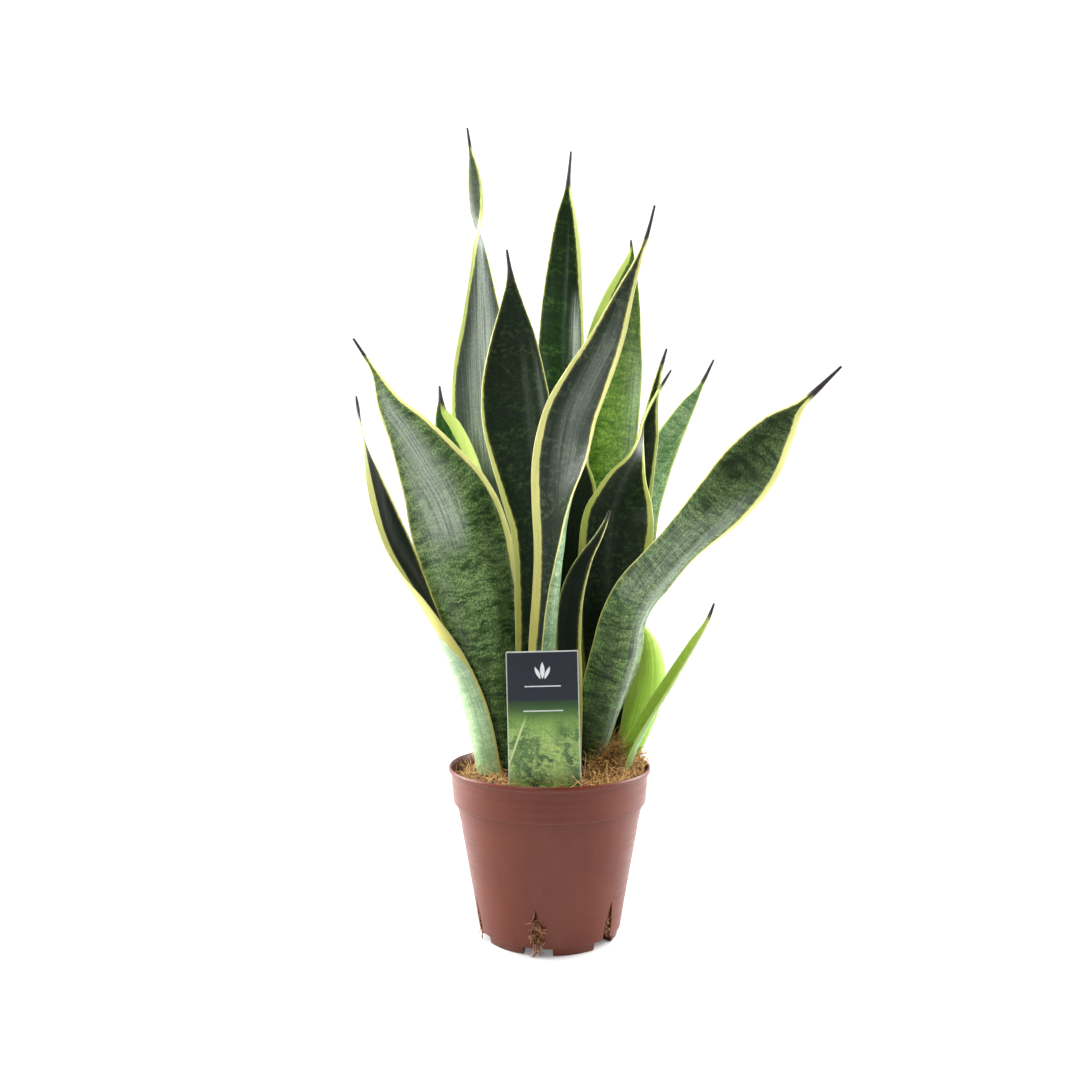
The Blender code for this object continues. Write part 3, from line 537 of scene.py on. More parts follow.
def leaf_material(name, looks, seed):
    """Mottled, cross-banded green with yellow margins, worked out in millimetres on the blade."""
    inner, outer, inner_bands, outer_bands, _, _, tint, upper, _ = looks
    m = Tree(name)
    across, along, inset = m.attribute("blade")
    outside, to_awl, edge = m.attribute("side")
    shifted = m.plus(along, seed * 37.0)
    outside = m.ramp(outside, 0.3, 0.7)

    # Bands run across: a long wave bends them and short ones tear them into teeth and islands.
    slow = m.noise(m.join(across, shifted, seed), 0.045, 2.0)
    fine = m.noise(m.join(across, shifted, seed + 4), 0.65, 4.0, 0.7)
    bent = m.plus(m.plus(shifted, m.swing(slow, 16.0)), m.swing(fine, 5.0))
    wide = m.noise(m.join(m.times(across, 0.22), bent, seed), 0.21, 2.0, 0.5)
    narrow = m.noise(m.join(m.times(across, 0.30), bent, seed + 9), 0.56, 2.0, 0.5)
    patch = m.noise(m.join(across, shifted, seed + 6), 0.030, 1.0)
    wide, narrow = m.ramp(wide, 0.38, 0.58), m.ramp(narrow, 0.40, 0.60)
    lines = m.plus(m.times(wide, 0.45), m.times(narrow, 0.55))
    grain = m.noise(m.join(across, m.times(shifted, 0.75), seed + 2), 1.0, 3.0, 0.75)
    grain = m.ramp(grain, 0.38, 0.62)
    outer_light = m.times(lines, m.ramp(grain, 0, 1, 0.22, 1.10))
    outer_light = m.plus(m.times(outer_light, outer_bands), MEAN_LIGHT * (1 - outer_bands))
    outer_light = m.times(outer_light, m.ramp(patch, 0.25, 0.75, 0.8, 1.2), clamp=True)

    # The inner side has loose rows of soft blots instead, each made of small flecks.
    rows = m.noise(m.join(m.times(across, 0.18), bent, seed + 3), 0.13, 2.0, 0.5)
    blots = m.noise(m.join(across, m.times(shifted, 1.3), seed + 12), 0.30, 2.0, 0.55)
    blots = m.times(m.ramp(blots, 0.44, 0.66), m.ramp(rows, 0.38, 0.58, 0.15, 1.0))
    inner_light = m.times(blots, m.ramp(grain, 0, 1, 0.35, 1.0))
    inner_light = m.times(inner_light, 0.9 * inner_bands)
    inner_light = m.plus(inner_light, m.times(grain, 0.10), clamp=True)

    if inner in BANDED:
        inner_light = outer_light

    green = m.mix(outside, m.mix(inner_light, *PALETTES[inner]), m.mix(outer_light, *PALETTES[outer]))

    # Fine streaks run down the blade, and it turns yellower and, as painted shade, deeper towards its
    # base.
    streak = m.noise(m.join(across, m.times(shifted, 0.012), seed), 1.5, 3.0, 0.7)
    streaks = m.ramp(streak, 0.30, 0.72, 0.78, 1.22)
    grey = m.add("ShaderNodeCombineColor", {0: streaks, 1: streaks, 2: streaks}).outputs[0]
    green = m.tint(green, grey)
    green = m.mix(m.ramp(along, 25.0, 140.0, 0.80, 0.0), green, m.tint(green, BASE_YELLOW_SHADE_TINT))
    dusk = m.tint(green, (upper, upper, 0.9 * upper))
    green = m.mix(m.ramp(to_awl, 45.0, 125.0, 1.0, 0.0), green, dusk)

    # Painted sheen lies in pale streaks that stand in for highlights, and painted shade makes some
    # stretches a deeper green.
    sheen_and_shade = m.attribute("sheen_and_shade")[0]
    painted_shade = m.times(sheen_and_shade, -1.0, clamp=True)
    green = m.mix(painted_shade, green, m.tint(green, PAINTED_SHADE_TINT))
    sheen_and_shade = m.times(sheen_and_shade, m.ramp(streak, 0.35, 0.62, 0.35, 1.0), clamp=True)
    sheen_and_shade = m.times(sheen_and_shade, m.ramp(grain, 0, 1, 0.75, 1.0))
    green = m.mix(sheen_and_shade, green, PAINTED_SHEEN_COLOR)

    # Margins: yellow with a slightly frayed inner boundary and an olive seam beside it.
    fray = m.noise(m.join(across, m.times(shifted, 0.35), seed + 5), 0.75, 3.0, 0.65)
    frayed = m.plus(inset, m.swing(fray, 1.5))
    yellow = m.ramp(frayed, -0.35, 0.30, 1.0, 0.0)
    seam = m.ramp(frayed, 0.0, 1.6, 0.38, 0.0)
    tone = m.noise(m.join(across, m.times(shifted, 0.10), seed + 13), 0.6, 3.0)
    low_tint, high_tint = TINTS[tint]
    shade = m.mix(m.ramp(along, 50.0, 210.0), low_tint, high_tint)
    shade = m.mix(m.ramp(tone, 0.35, 0.70, 0.0, 0.30), shade, m.tint(shade, GREENER_TINT))
    color = m.mix(seam, green, m.mix(0.5, low_tint, green))
    color = m.mix(yellow, color, shade)
    # The very edge is a thin pale line, and the awl and its neck are dry and dark.
    color = m.mix(m.ramp(edge, 0.15, 0.6, 0.45, 0.0), color, EDGE_COLOR)
    dry = m.noise(m.join(across, shifted, seed), 0.35, 3.0, 0.6)
    tip = m.ramp(m.plus(to_awl, m.swing(dry, 7.0)), -2.5, 4.0, 1.0, 0.0)
    color = m.mix(tip, color, m.mix(dry, *AWL_COLORS))

    haze = m.noise(m.join(across, m.times(shifted, 0.3), seed + 20), 0.12, 3.0, 0.6)
    rough = m.plus(m.ramp(haze, 0.25, 0.75, 0.30, 0.44), m.times(outside, 0.06))
    ribs = m.noise(m.join(across, m.times(shifted, 0.015), seed + 1), 1.6, 3.0, 0.6)
    cells = m.noise(m.join(across, m.times(shifted, 0.5), seed + 17), 3.5, 2.0, 0.5)
    height = m.plus(ribs, m.times(cells, 0.30))
    m.set(color=color, roughness=rough, specular=0.20, normal=m.bump(height, 0.35, 0.35 * MM))
    return m.material


def make_leaves():
    for number, (name, leaf) in enumerate(LEAVES.items()):
        looks = LOOKS[name]
        seed = 1.7 * number + 0.3
        material = leaf_material(name, looks, seed)
        short = name.replace("leaf_", "blade_")
        mesh = leaf_mesh(short, leaf, material, seed, looks[4:6], looks[8], PAINTED_SHEEN_AND_SHADE.get(name, ()))
        piece(short, mesh, "leaf", name)


# ---------------------------------------------------------------- pot

POT_WALL = 1.2 * MM
COLLAR_FOOT = POT_HEIGHT - 21 * MM
BAND_FOOT = POT_HEIGHT - 35 * MM
COLLAR_RADIUS = LIP_RADIUS - 1.4 * MM
WALL_TOP_RADIUS = LIP_RADIUS - 7.6 * MM
WALL_FOOT_RADIUS = LIP_RADIUS - 18 * MM
FOOT_HEIGHT = 4.5 * MM
FOOT_OUTER, FOOT_INNER = 40 * MM, 34 * MM
PAD_RADIUS = 9 * MM
SLOT_COUNT, SLOT_FIRST_ANGLE = 6, -100
SLOT_WIDTH, SLOT_TOP = 4.2 * MM, 27 * MM
# How much wider some slots are than the others, by their angle.
WIDER_SLOTS = {-100: 1.3, -40: 1.5}
FOOT_GAP_WIDTH = 17 * MM
POT_STEPS = 192
SHARP_ANGLE = 38


def pot_outside():
    """The outer skin as (radius, height), from the top of the lip down to the axis."""
    h, lip, collar, wall, foot = POT_HEIGHT, LIP_RADIUS, COLLAR_RADIUS, WALL_TOP_RADIUS, WALL_FOOT_RADIUS
    points = [(lip - 0.35 * MM, h - 0.12 * MM), (lip, h - 0.7 * MM), (lip, h - 2.2 * MM),
              (lip - 0.3 * MM, h - 2.7 * MM), (lip - 1.0 * MM, h - 3.1 * MM), (collar, h - 3.8 * MM)]
    top, low = h - 4.6 * MM, COLLAR_FOOT + 0.9 * MM
    for drop, groove in ((0.0, 0), (0.16, 0), (0.20, 1), (0.24, 0), (0.46, 0), (0.50, 1), (0.54, 0),
                         (0.76, 0), (0.80, 1), (0.84, 0), (0.97, 0)):
        points.append((collar - (1.4 * drop + 0.10 * groove) * MM, top + (low - top) * drop))
    points += [(collar - 1.5 * MM, COLLAR_FOOT + 0.5 * MM), (collar - 1.9 * MM, COLLAR_FOOT + 0.1 * MM),
               (collar - 3.2 * MM, COLLAR_FOOT - 0.3 * MM), (collar - 3.5 * MM, COLLAR_FOOT - 0.8 * MM),
               (collar - 3.5 * MM, COLLAR_FOOT - 1.4 * MM)]
    points += [(wall + 0.25 * MM, BAND_FOOT + 1.6 * MM), (wall, BAND_FOOT - 0.8 * MM)]
    start, end = points[-1], (foot, FOOT_HEIGHT + 1.0 * MM)
    for k in range(1, 9):
        share = k / 8
        points.append((start[0] + (end[0] - start[0]) * share, start[1] + (end[1] - start[1]) * share))
    points += [(foot - 0.15 * MM, FOOT_HEIGHT + 0.4 * MM), (foot - 0.6 * MM, FOOT_HEIGHT),
               (FOOT_OUTER + 0.9 * MM, FOOT_HEIGHT - 0.02 * MM), (FOOT_OUTER + 0.1 * MM, 0.5 * MM),
               (FOOT_OUTER - 0.4 * MM, 0), (FOOT_INNER + 0.4 * MM, 0), (FOOT_INNER - 0.1 * MM, 0.5 * MM),
               (FOOT_INNER - 1.2 * MM, FOOT_HEIGHT), (PAD_RADIUS + 1.2 * MM, FOOT_HEIGHT),
               (PAD_RADIUS, 0.3 * MM), (PAD_RADIUS - 0.3 * MM, 0), (0, 0)]
    return points


def pot_inside():
    """The inner skin as (radius, height), from the axis up to the top of the lip."""
    t, floor = POT_WALL, FOOT_HEIGHT + POT_WALL
    points = [(0, t), (PAD_RADIUS - 1.4 * MM, t), (PAD_RADIUS, floor), (FOOT_INNER - 0.2 * MM, floor),
              (FOOT_INNER + 1.1 * MM, t), (FOOT_OUTER - 1.2 * MM, t), (FOOT_OUTER - 0.4 * MM, floor),
              (WALL_FOOT_RADIUS - t + 0.1 * MM, floor + 1.2 * MM)]
    points += [(WALL_TOP_RADIUS - t, BAND_FOOT - 1.0 * MM),
               (WALL_TOP_RADIUS + 0.6 * MM - t, BAND_FOOT + 1.0 * MM),
               (COLLAR_RADIUS - 3.5 * MM - t, COLLAR_FOOT - 1.2 * MM),
               (COLLAR_RADIUS - 1.6 * MM - t, COLLAR_FOOT + 0.9 * MM),
               (COLLAR_RADIUS - t, POT_HEIGHT - 4.0 * MM), (LIP_RADIUS - 1.9 * MM, POT_HEIGHT - 2.0 * MM),
               (LIP_RADIUS - 1.5 * MM, POT_HEIGHT - 0.4 * MM), (LIP_RADIUS - 1.0 * MM, POT_HEIGHT)]
    return points


def radius_at(profile, height):
    """The radius of a skin's wall at a height above the floor."""
    wall = [(z, r) for r, z in profile if r > FOOT_OUTER - 0.5 * MM and z > FOOT_HEIGHT]
    wall.sort(key=lambda place: place[0])
    for (low, r_low), (high, r_high) in zip(wall, wall[1:]):
        if low <= height <= high and high > low:
            return r_low + (r_high - r_low) * (height - low) / (high - low)
    return wall[0][1] if height < wall[0][0] else wall[-1][1]


def turned_cutter(name, bm, angle):
    """A cutter of this shape, turned about the pot's axis."""
    turn = Matrix.Rotation(math.radians(angle), 3, "Z")
    bmesh.ops.rotate(bm, verts=bm.verts, cent=(0, 0, 0), matrix=turn)
    mesh = bpy.data.meshes.new(name)
    bm.to_mesh(mesh)
    bm.free()
    return in_scene(name, mesh)


def radial_block(name, angle, inner, outer, width, low, high):
    bm = bmesh.new()
    bmesh.ops.create_cube(bm, size=1)
    for vertex in bm.verts:
        x, y, z = vertex.co
        radius = inner if x < 0 else outer
        vertex.co = (radius, math.copysign(width / 2, y), low if z < 0 else high)
    return turned_cutter(name, bm, angle)


def slot_cutter(name, angle):
    """A wedge that ends in a point, a little ragged along its sides."""
    rng = random.Random(angle)
    widening = WIDER_SLOTS.get(angle, 1.0)
    heights = [-MM] + [SLOT_TOP * share for share in (0.22, 0.4, 0.55, 0.7, 0.84, 1.0)]
    halves = [SLOT_WIDTH / 2 * share for share in (0.95, 1.0, 1.0, 0.9, 0.62, 0.36, 0.05)]
    points = []
    for radius in (FOOT_INNER + 2 * MM, LIP_RADIUS):
        for side in (-1, 1):
            ordered = list(zip(heights, halves))
            for z, half in ordered if side < 0 else ordered[::-1]:
                points.append((radius, side * half * widening * rng.uniform(0.85, 1.15), z))
    count = len(points) // 2
    faces = [tuple(reversed(range(count))), tuple(range(count, 2 * count))]
    faces += [(k, (k + 1) % count, count + (k + 1) % count, count + k) for k in range(count)]
    bm = bmesh.new()
    corners = [bm.verts.new(point) for point in points]
    for face in faces:
        bm.faces.new([corners[k] for k in face])
    bmesh.ops.recalc_face_normals(bm, faces=bm.faces)
    return turned_cutter(name, bm, angle)


def pot_material():
    m = Tree("pot plastic")
    where = m.object_coords()
    x, y, z = m.split(where)
    cloud = m.noise(where, 28.0, 4.0, 0.6)
    flow = m.noise(m.join(m.times(x, 6.0), m.times(y, 6.0), z), 30.0, 3.0, 0.6)
    grain = m.noise(where, 900.0, 3.0, 0.6)
    color = m.mix(m.ramp(cloud, 0.3, 0.7), (0.108, 0.020, 0.009), (0.128, 0.027, 0.012))
    color = m.mix(m.ramp(flow, 0.45, 0.75, 0.0, 0.22), color, (0.160, 0.044, 0.024))
    # Compost dust near the rim and the feet.
    dust = m.noise(where, 220.0, 4.0, 0.7)
    near_rim = m.ramp(z, POT_HEIGHT - 7 * MM, POT_HEIGHT, 0.0, 0.55)
    near_foot = m.ramp(z, 2 * MM, 16 * MM, 0.5, 0.0)
    specks = m.times(m.ramp(dust, 0.56, 0.66), m.plus(near_rim, near_foot, clamp=True))
    color = m.mix(specks, color, (0.06, 0.035, 0.02))
    scuff = m.noise(m.join(x, y, m.times(z, 9.0)), 60.0, 4.0, 0.7)
    rough = m.ramp(scuff, 0.35, 0.75, 0.34, 0.46)
    height = m.plus(m.times(grain, 0.5), flow)
    m.set(color=color, roughness=rough, specular=0.30, normal=m.bump(height, 0.25, 0.12 * MM))
    return m.material


def make_pot():
    bm = bmesh.new()
    chain = [bm.verts.new((radius, 0, height)) for radius, height in pot_inside() + pot_outside()]
    for first, second in zip(chain, chain[1:]):
        bm.edges.new((first, second))
    mesh = bpy.data.meshes.new("pot")
    bm.to_mesh(mesh)
    bm.free()
    source = in_scene("pot_source", mesh)
    screw = source.modifiers.new("turn", "SCREW")
    screw.steps = screw.render_steps = POT_STEPS
    screw.use_merge_vertices = True
    screw.merge_threshold = 0.00001
    helpers = [source]
    for k in range(SLOT_COUNT):
        angle = SLOT_FIRST_ANGLE + k * 360 / SLOT_COUNT
        for cut in (
            slot_cutter(f"slot_{k}", angle),
            radial_block(f"gap_{k}", angle, FOOT_INNER - 3 * MM, LIP_RADIUS, FOOT_GAP_WIDTH,
                         -MM, FOOT_HEIGHT - 0.3 * MM),
        ):
            helpers.append(cut)
            modifier = source.modifiers.new("cut", "BOOLEAN")
            modifier.operation = "DIFFERENCE"
            modifier.solver = "EXACT"
            modifier.object = cut
    bpy.context.view_layer.update()
    graph = bpy.context.evaluated_depsgraph_get()
    mesh = bpy.data.meshes.new_from_object(source.evaluated_get(graph))
    for obj in helpers:
        bpy.data.objects.remove(obj)
    mesh.shade_smooth()
    mesh.set_sharp_from_angle(angle=math.radians(SHARP_ANGLE))
    mesh.materials.clear()
    mesh.materials.append(pot_material())
    piece("pot", mesh, "pot_plastic", "nursery_pot")


# ---------------------------------------------------------------- compost

# Each mound's place as shares of the compost's radius, its height and its width.
MOUNDS = [
    ((0.70, 0.08), 16 * MM, 18 * MM), ((0.35, 0.30), 4 * MM, 20 * MM),
    ((-0.50, 0.15), 3 * MM, 18 * MM),
]
SOIL_SECTORS, SOIL_RINGS, SOIL_LEVELS = 200, 64, 17


def mound(x, y):
    rise = 0.0
    for (share_x, share_y), height, width in MOUNDS:
        away = math.hypot(x - share_x * SOIL_RADIUS, y - share_y * SOIL_RADIUS)
        rise += height * math.exp(-((away / width) ** 2))
    return rise


def soil_height(x, y):
    """The top of the compost, with its lumps."""
    share = min(math.hypot(x, y) / SOIL_RADIUS, 1)
    base = SOIL_LEVEL + 0.8 * MM - 1.6 * MM * share**3 + mound(x, y)
    place = Vector((x / MM, y / MM, 0))
    lumps = noise.noise(place / 9) * 1.3 + noise.noise(place / 3.6 + Vector((9, 2, 0))) * 0.8
    lumps += noise.noise(place / 1.5 + Vector((3, 7, 0))) * 0.45
    return base + lumps * MM * (0.4 + 0.6 * min(1, (1 - share) * 9))


def soil_material():
    m = Tree("compost")
    where = m.object_coords()
    crumbs = m.noise(where, 420.0, 5.0, 0.7)
    patches = m.noise(where, 70.0, 3.0, 0.6)
    color = m.mix(m.ramp(crumbs, 0.35, 0.65), (0.034, 0.016, 0.007), (0.24, 0.115, 0.042))
    color = m.mix(m.ramp(patches, 0.45, 0.7, 0.0, 0.6), color, (0.38, 0.21, 0.08))
    threads = m.noise(where, 1100.0, 4.0, 0.75)
    color = m.mix(m.ramp(threads, 0.58, 0.68, 0.0, 0.8), color, (0.30, 0.18, 0.07))
    height = m.plus(crumbs, m.times(threads, 0.4))
    m.set(color=color, roughness=0.95, specular=0.25, normal=m.bump(height, 1.0, 1.2 * MM))
    return m.material


def fibre_material(name, dark, light):
    m = Tree(name)
    where = m.object_coords()
    shade = m.attribute("tone")[0]
    stain = m.noise(where, 600.0, 3.0, 0.6)
    color = m.mix(shade, dark, light)
    color = m.mix(m.ramp(stain, 0.5, 0.8, 0.0, 0.5), color, tuple(c * 0.4 for c in dark))
    m.set(color=color, roughness=0.8, specular=0.3, normal=m.bump(stain, 0.4, 0.1 * MM))
    return m.material


def make_soil():
    """The plug: its lumpy top, its side behind the drainage slots, and its underside."""
    points = [(0, 0, soil_height(0, 0))]
    for k in range(1, SOIL_RINGS + 1):
        radius = SOIL_RADIUS * k / SOIL_RINGS
        for a in circle(SOIL_SECTORS):
            x, y = radius * math.cos(a), radius * math.sin(a)
            points.append((x, y, soil_height(x, y)))
    high, low = SOIL_LEVEL - 8 * MM, FOOT_HEIGHT + POT_WALL + 0.5 * MM
    for k in range(SOIL_LEVELS):
        z = high - (high - low) * k / (SOIL_LEVELS - 1)
        for a in circle(SOIL_SECTORS):
            bump = abs(noise.noise((18 * math.cos(a), 18 * math.sin(a), z / MM / 2.5)))
            radius = radius_at(pot_inside(), z) - (0.4 + 0.9 * bump) * MM
            points.append((radius * math.cos(a), radius * math.sin(a), z))
    points.append((0, 0, low))
    faces = tube_faces(1, SOIL_RINGS + SOIL_LEVELS, SOIL_SECTORS)
    last = len(points) - 1 - SOIL_SECTORS
    for s in range(SOIL_SECTORS):
        e = (s + 1) % SOIL_SECTORS
        faces += [(0, 1 + s, 1 + e), (last + e, last + s, len(points) - 1)]
    mesh = mesh_of("compost_plug", points, faces, soil_material())
    piece("compost_plug", mesh, "compost", "compost")


def tubes(name, paths, material, sides):
    """Many thin round fibres as one mesh. Each path is (points, radius, tone)."""
    points, faces, tones = [], [], []
    for path, radius, tone in paths:
        start, count = len(points), len(path)
        for i, place in enumerate(path):
            ahead = (path[min(i + 1, count - 1)] - path[max(i - 1, 0)]).normalized()
            first = ahead.cross((0, 0, 1))
            first = first.normalized() if first.length > 1e-4 else Vector((1, 0, 0))
            second = ahead.cross(first)
            size = radius * (1 - 0.7 * abs(2 * i / (count - 1) - 1) ** 3)
            for a in circle(sides):
                points.append(place + (first * math.cos(a) + second * math.sin(a)) * size)
                tones.append((tone, 0, 0))
        faces += tube_faces(start, count, sides)
        faces.append(tuple(range(start, start + sides)))
        faces.append(tuple(reversed(range(len(points) - sides, len(points)))))
    mesh = mesh_of(name, points, faces, material)
    float_vectors(mesh, "tone", tones)
    return mesh


def on_soil(place):
    """This place, or the nearest one above the compost and inside the pot's rim."""
    place.z = max(place.z, soil_height(place.x, place.y) + 0.15 * MM)
    radius = math.hypot(place.x, place.y)
    most = SOIL_RADIUS - 0.6 * MM
    if radius > most and place.z < POT_HEIGHT + 0.6 * MM:
        place.x *= most / radius
        place.y *= most / radius
    return place


def curly(start, heading, length, curl, rng, count, settle=None):
    """A fibre's path: it sets off and bends a little at each step."""
    path = [Vector(start)]
    heading = Vector(heading).normalized()
    for _ in range(count - 1):
        turn = Vector((rng.uniform(-1, 1), rng.uniform(-1, 1), rng.uniform(-1, 1))) * curl
        heading = (heading + turn).normalized()
        place = path[-1] + heading * length / (count - 1)
        if settle:
            place = settle(place)
        path.append(place)
    return path


FIBRE_COUNT, CRUMB_COUNT = 2600, 520


def make_fibres():
    """Coir fibres and crumbs on the compost."""
    rng = random.Random(5)
    paths = []
    for _ in range(FIBRE_COUNT):
        radius = SOIL_RADIUS * math.sqrt(rng.uniform(0, 0.97))
        a = rng.uniform(0, 2 * math.pi)
        if rng.random() < 0.5:
            a = rng.gauss(0.05, 0.62)
            radius = SOIL_RADIUS * rng.uniform(0.50, 0.98)
        x, y = radius * math.cos(a), radius * math.sin(a)
        rise = rng.uniform(-0.1, 0.5) if rng.random() < 0.8 else rng.uniform(0.3, 1.3)
        heading = (math.cos(a + rng.uniform(-3, 3)), math.sin(a + rng.uniform(-3, 3)), rise)
        length = rng.uniform(5, 19) * MM
        start = (x, y, soil_height(x, y) + rng.uniform(0, 0.5) * MM)
        path = curly(start, heading, length, rng.uniform(0.25, 0.7), rng, 9, on_soil)
        paths.append((path, rng.uniform(0.08, 0.21) * MM, rng.random() ** 1.3))
    material = fibre_material("coir", (0.200, 0.080, 0.025), (0.95, 0.62, 0.24))
    piece("coir_fibres", tubes("coir_fibres", paths, material, 4), "compost")

    points, faces, tones = [], [], []
    for k in range(CRUMB_COUNT):
        radius = SOIL_RADIUS * math.sqrt(rng.uniform(0, 0.95))
        a = rng.uniform(0, 2 * math.pi)
        x, y = radius * math.cos(a), radius * math.sin(a)
        size = rng.uniform(0.5, 1.7) * MM
        bm = bmesh.new()
        bmesh.ops.create_icosphere(bm, subdivisions=1, radius=1)
        stretch = Vector((rng.uniform(0.6, 1.5), rng.uniform(0.6, 1.3), rng.uniform(0.4, 0.9)))
        turn = Matrix.Rotation(rng.uniform(0, 6.3), 3, "Z")
        turn = turn @ Matrix.Rotation(rng.uniform(-0.6, 0.6), 3, "X")
        start = len(points)
        tone = rng.random() ** 2
        for vertex in bm.verts:
            lump = 1 + 0.35 * noise.noise(vertex.co * 1.7 + Vector((k, 0, 0)))
            local = Vector(c * s for c, s in zip(vertex.co, stretch)) * size * lump
            points.append(turn @ local + Vector((x, y, soil_height(x, y) + size * 0.2)))
            tones.append((tone, 0, 0))
        faces += [tuple(start + v.index for v in face.verts) for face in bm.faces]
        bm.free()
    material = fibre_material("crumb", (0.022, 0.012, 0.007), (0.17, 0.095, 0.045))
    mesh = mesh_of("crumbs", points, faces, material)
    float_vectors(mesh, "tone", tones)
    piece("compost_crumbs", mesh, "compost")


def make_roots():
    """The root mat behind the slots, and the bundles that have grown out of them."""
    rng = random.Random(11)
    paths = []
    for k in range(SLOT_COUNT):
        angle = math.radians(SLOT_FIRST_ANGLE + k * 360 / SLOT_COUNT)
        outward = Vector((math.cos(angle), math.sin(angle), 0))
        sideways = Vector((-math.sin(angle), math.cos(angle), 0))
        crowded = k == 0
        for _ in range(64 if crowded else 16):
            z = rng.uniform(4.5, 21) * MM
            near = radius_at(pot_outside(), max(z, 7 * MM))
            start = outward * (near - rng.uniform(1.5, 3.0) * MM)
            start += sideways * rng.uniform(-1.3, 1.3) * MM
            start.z = z
            heading = outward * rng.uniform(0.1, 0.9) + sideways * rng.uniform(-0.5, 0.5)
            heading.z = rng.uniform(-1.5, 0.9)
            length = rng.uniform(4, 11) * MM
            path = curly(start, heading, length, 0.55, rng, 8)
            for place in path:
                place.z = max(place.z, 0.6 * MM)
                aside, reach = place.dot(sideways), place.dot(outward)
                limit = radius_at(pot_outside(), max(place.z, 7 * MM))
                if abs(aside) > 1.4 * MM and reach < limit + 0.3 * MM:
                    reach = limit + 0.35 * MM
                reach = min(reach, limit + (2.6 if crowded else 0.2) * MM)
                most = 6 * MM if crowded or place.z < 5 * MM else 1.2 * MM
                spot = outward * reach + sideways * max(-most, min(most, aside))
                place.x, place.y = spot.x, spot.y
            paths.append((path, rng.uniform(0.16, 0.45) * MM, rng.random()))
    material = fibre_material("roots", (0.080, 0.026, 0.014), (0.42, 0.20, 0.10))
    piece("slot_roots", tubes("slot_roots", paths, material, 6), "roots", "root_mat")


# ---------------------------------------------------------------- label

TAG_THICKNESS = 0.6 * MM
TAG_TILT = math.radians(-1.4)
TAG_MIDDLE_X = -4.7 * MM
CORNER_RADIUS = 0.8 * MM
TAG_ROWS, TAG_COLUMNS = 44, 17
# Half the card's width, the card's height and the stake's length below it, in millimetres.
HALF_CARD, CARD_HEIGHT, STAKE_LENGTH = 20.0, 78.0, 34.0


def tag_material():
    """Printed card: a dark band with a generic leaf mark, plain bars, and a fading leaf pattern."""
    m = Tree("plant label")
    x, y, z = m.attribute("print")
    # x runs -1 to 1 across the card, y 0 to 1 from its top to its shoulder, z marks the front.
    px, py = m.times(x, HALF_CARD), m.times(y, CARD_HEIGHT)
    wave = m.noise(m.join(px, py, 3.0), 0.13, 4.0, 0.65)
    bent = m.plus(m.minus(py, m.times(px, 0.35)),
                  m.swing(wave, 38.0))
    band = m.noise(m.join(m.times(px, 0.35), bent, 1.0), 0.25, 4.0, 0.65)
    mottle = m.noise(m.join(px, py, 5.0), 0.8, 4.0, 0.7)
    light = m.mix(m.ramp(mottle, 0.35, 0.65), (0.23, 0.39, 0.080), (0.45, 0.59, 0.20))
    leafy = m.mix(m.ramp(band, 0.36, 0.60), (0.045, 0.110, 0.040), light)
    plain = m.mix(m.ramp(py, 27.0, 44.0), (0.018, 0.050, 0.016), (0.15, 0.29, 0.055))
    color = m.mix(m.ramp(py, 32.0, 52.0), plain, leafy)
    # A pale leaf edge crosses the lower left corner.
    slant = m.plus(m.times(px, 2.6), m.minus(py, 11.0))
    stripe = m.ramp(m.size(slant), 0.8, 2.4, 1.0, 0.0)
    stripe = m.times(stripe, m.ramp(px, -7.0, -9.0))
    color = m.mix(m.times(stripe, m.ramp(py, 34.0, 44.0)), color, (0.52, 0.60, 0.28))
    color = m.mix(m.ramp(py, 26.4, 28.4), (0.015, 0.018, 0.029), color)

    def leaf_shape(root, lean, half, tall):
        """A lens that stands on the print's baseline, leaning to one side."""
        up = m.minus(15.5, py)
        aside = m.minus(m.minus(px, root), m.times(up, lean))
        share = m.math("DIVIDE", up, tall)
        bow = m.times(m.times(share, m.minus(1.0, share)), 4 * half)
        return m.ramp(m.minus(bow, m.size(aside)), -0.05, 0.12)

    mark = m.most(leaf_shape(0.0, 0.0, 1.3, 9.5), leaf_shape(-1.2, -0.42, 1.1, 7.0))
    mark = m.most(mark, leaf_shape(1.2, 0.42, 1.1, 7.0))

    def bar(centre, half, thick):
        inside_x = m.math("LESS_THAN", m.size(px), half)
        inside_y = m.math("LESS_THAN", m.size(m.minus(py, centre)), thick)
        return m.times(inside_x, inside_y)

    mark = m.most(mark, bar(19.4, 10.0, 0.30))
    mark = m.most(mark, m.times(bar(33.0, 11.0, 0.35), 0.75))
    color = m.mix(m.times(mark, 0.9), color, (0.80, 0.82, 0.84))
    border = m.ramp(m.size(x), 0.965, 0.985)
    top = m.ramp(py, 0.35, 0.9, 1.0, 0.0)
    edges = m.most(border, top)
    color = m.mix(m.times(edges, 0.85), color, (0.62, 0.66, 0.60))
    back = m.mix(m.ramp(mottle, 0.3, 0.7), (0.74, 0.76, 0.70), (0.80, 0.81, 0.77))
    color = m.mix(m.ramp(z, 0.4, 0.6), back, color)
    orange_peel = m.noise(m.join(px, py, 0.0), 2.2, 2.0)
    m.set(color=color, roughness=0.34, specular=0.35, normal=m.bump(orange_peel, 0.05, 0.1 * MM))
    return m.material


def half_width(z):
    """Half the label's width at a height above its top edge, so at a negative one."""
    half, height, stake = HALF_CARD * MM, CARD_HEIGHT * MM, STAKE_LENGTH * MM
    if z > -CORNER_RADIUS:
        return half - CORNER_RADIUS + math.sqrt(max(0, CORNER_RADIUS**2 - (CORNER_RADIUS + z) ** 2))
    if z > -height:
        return half
    if z > -height - 0.3 * stake:
        return half * (1 - 0.55 * (-height - z) / (0.3 * stake))
    return max(half * 0.45 * (z + height + stake) / (0.7 * stake), 0.3 * MM)


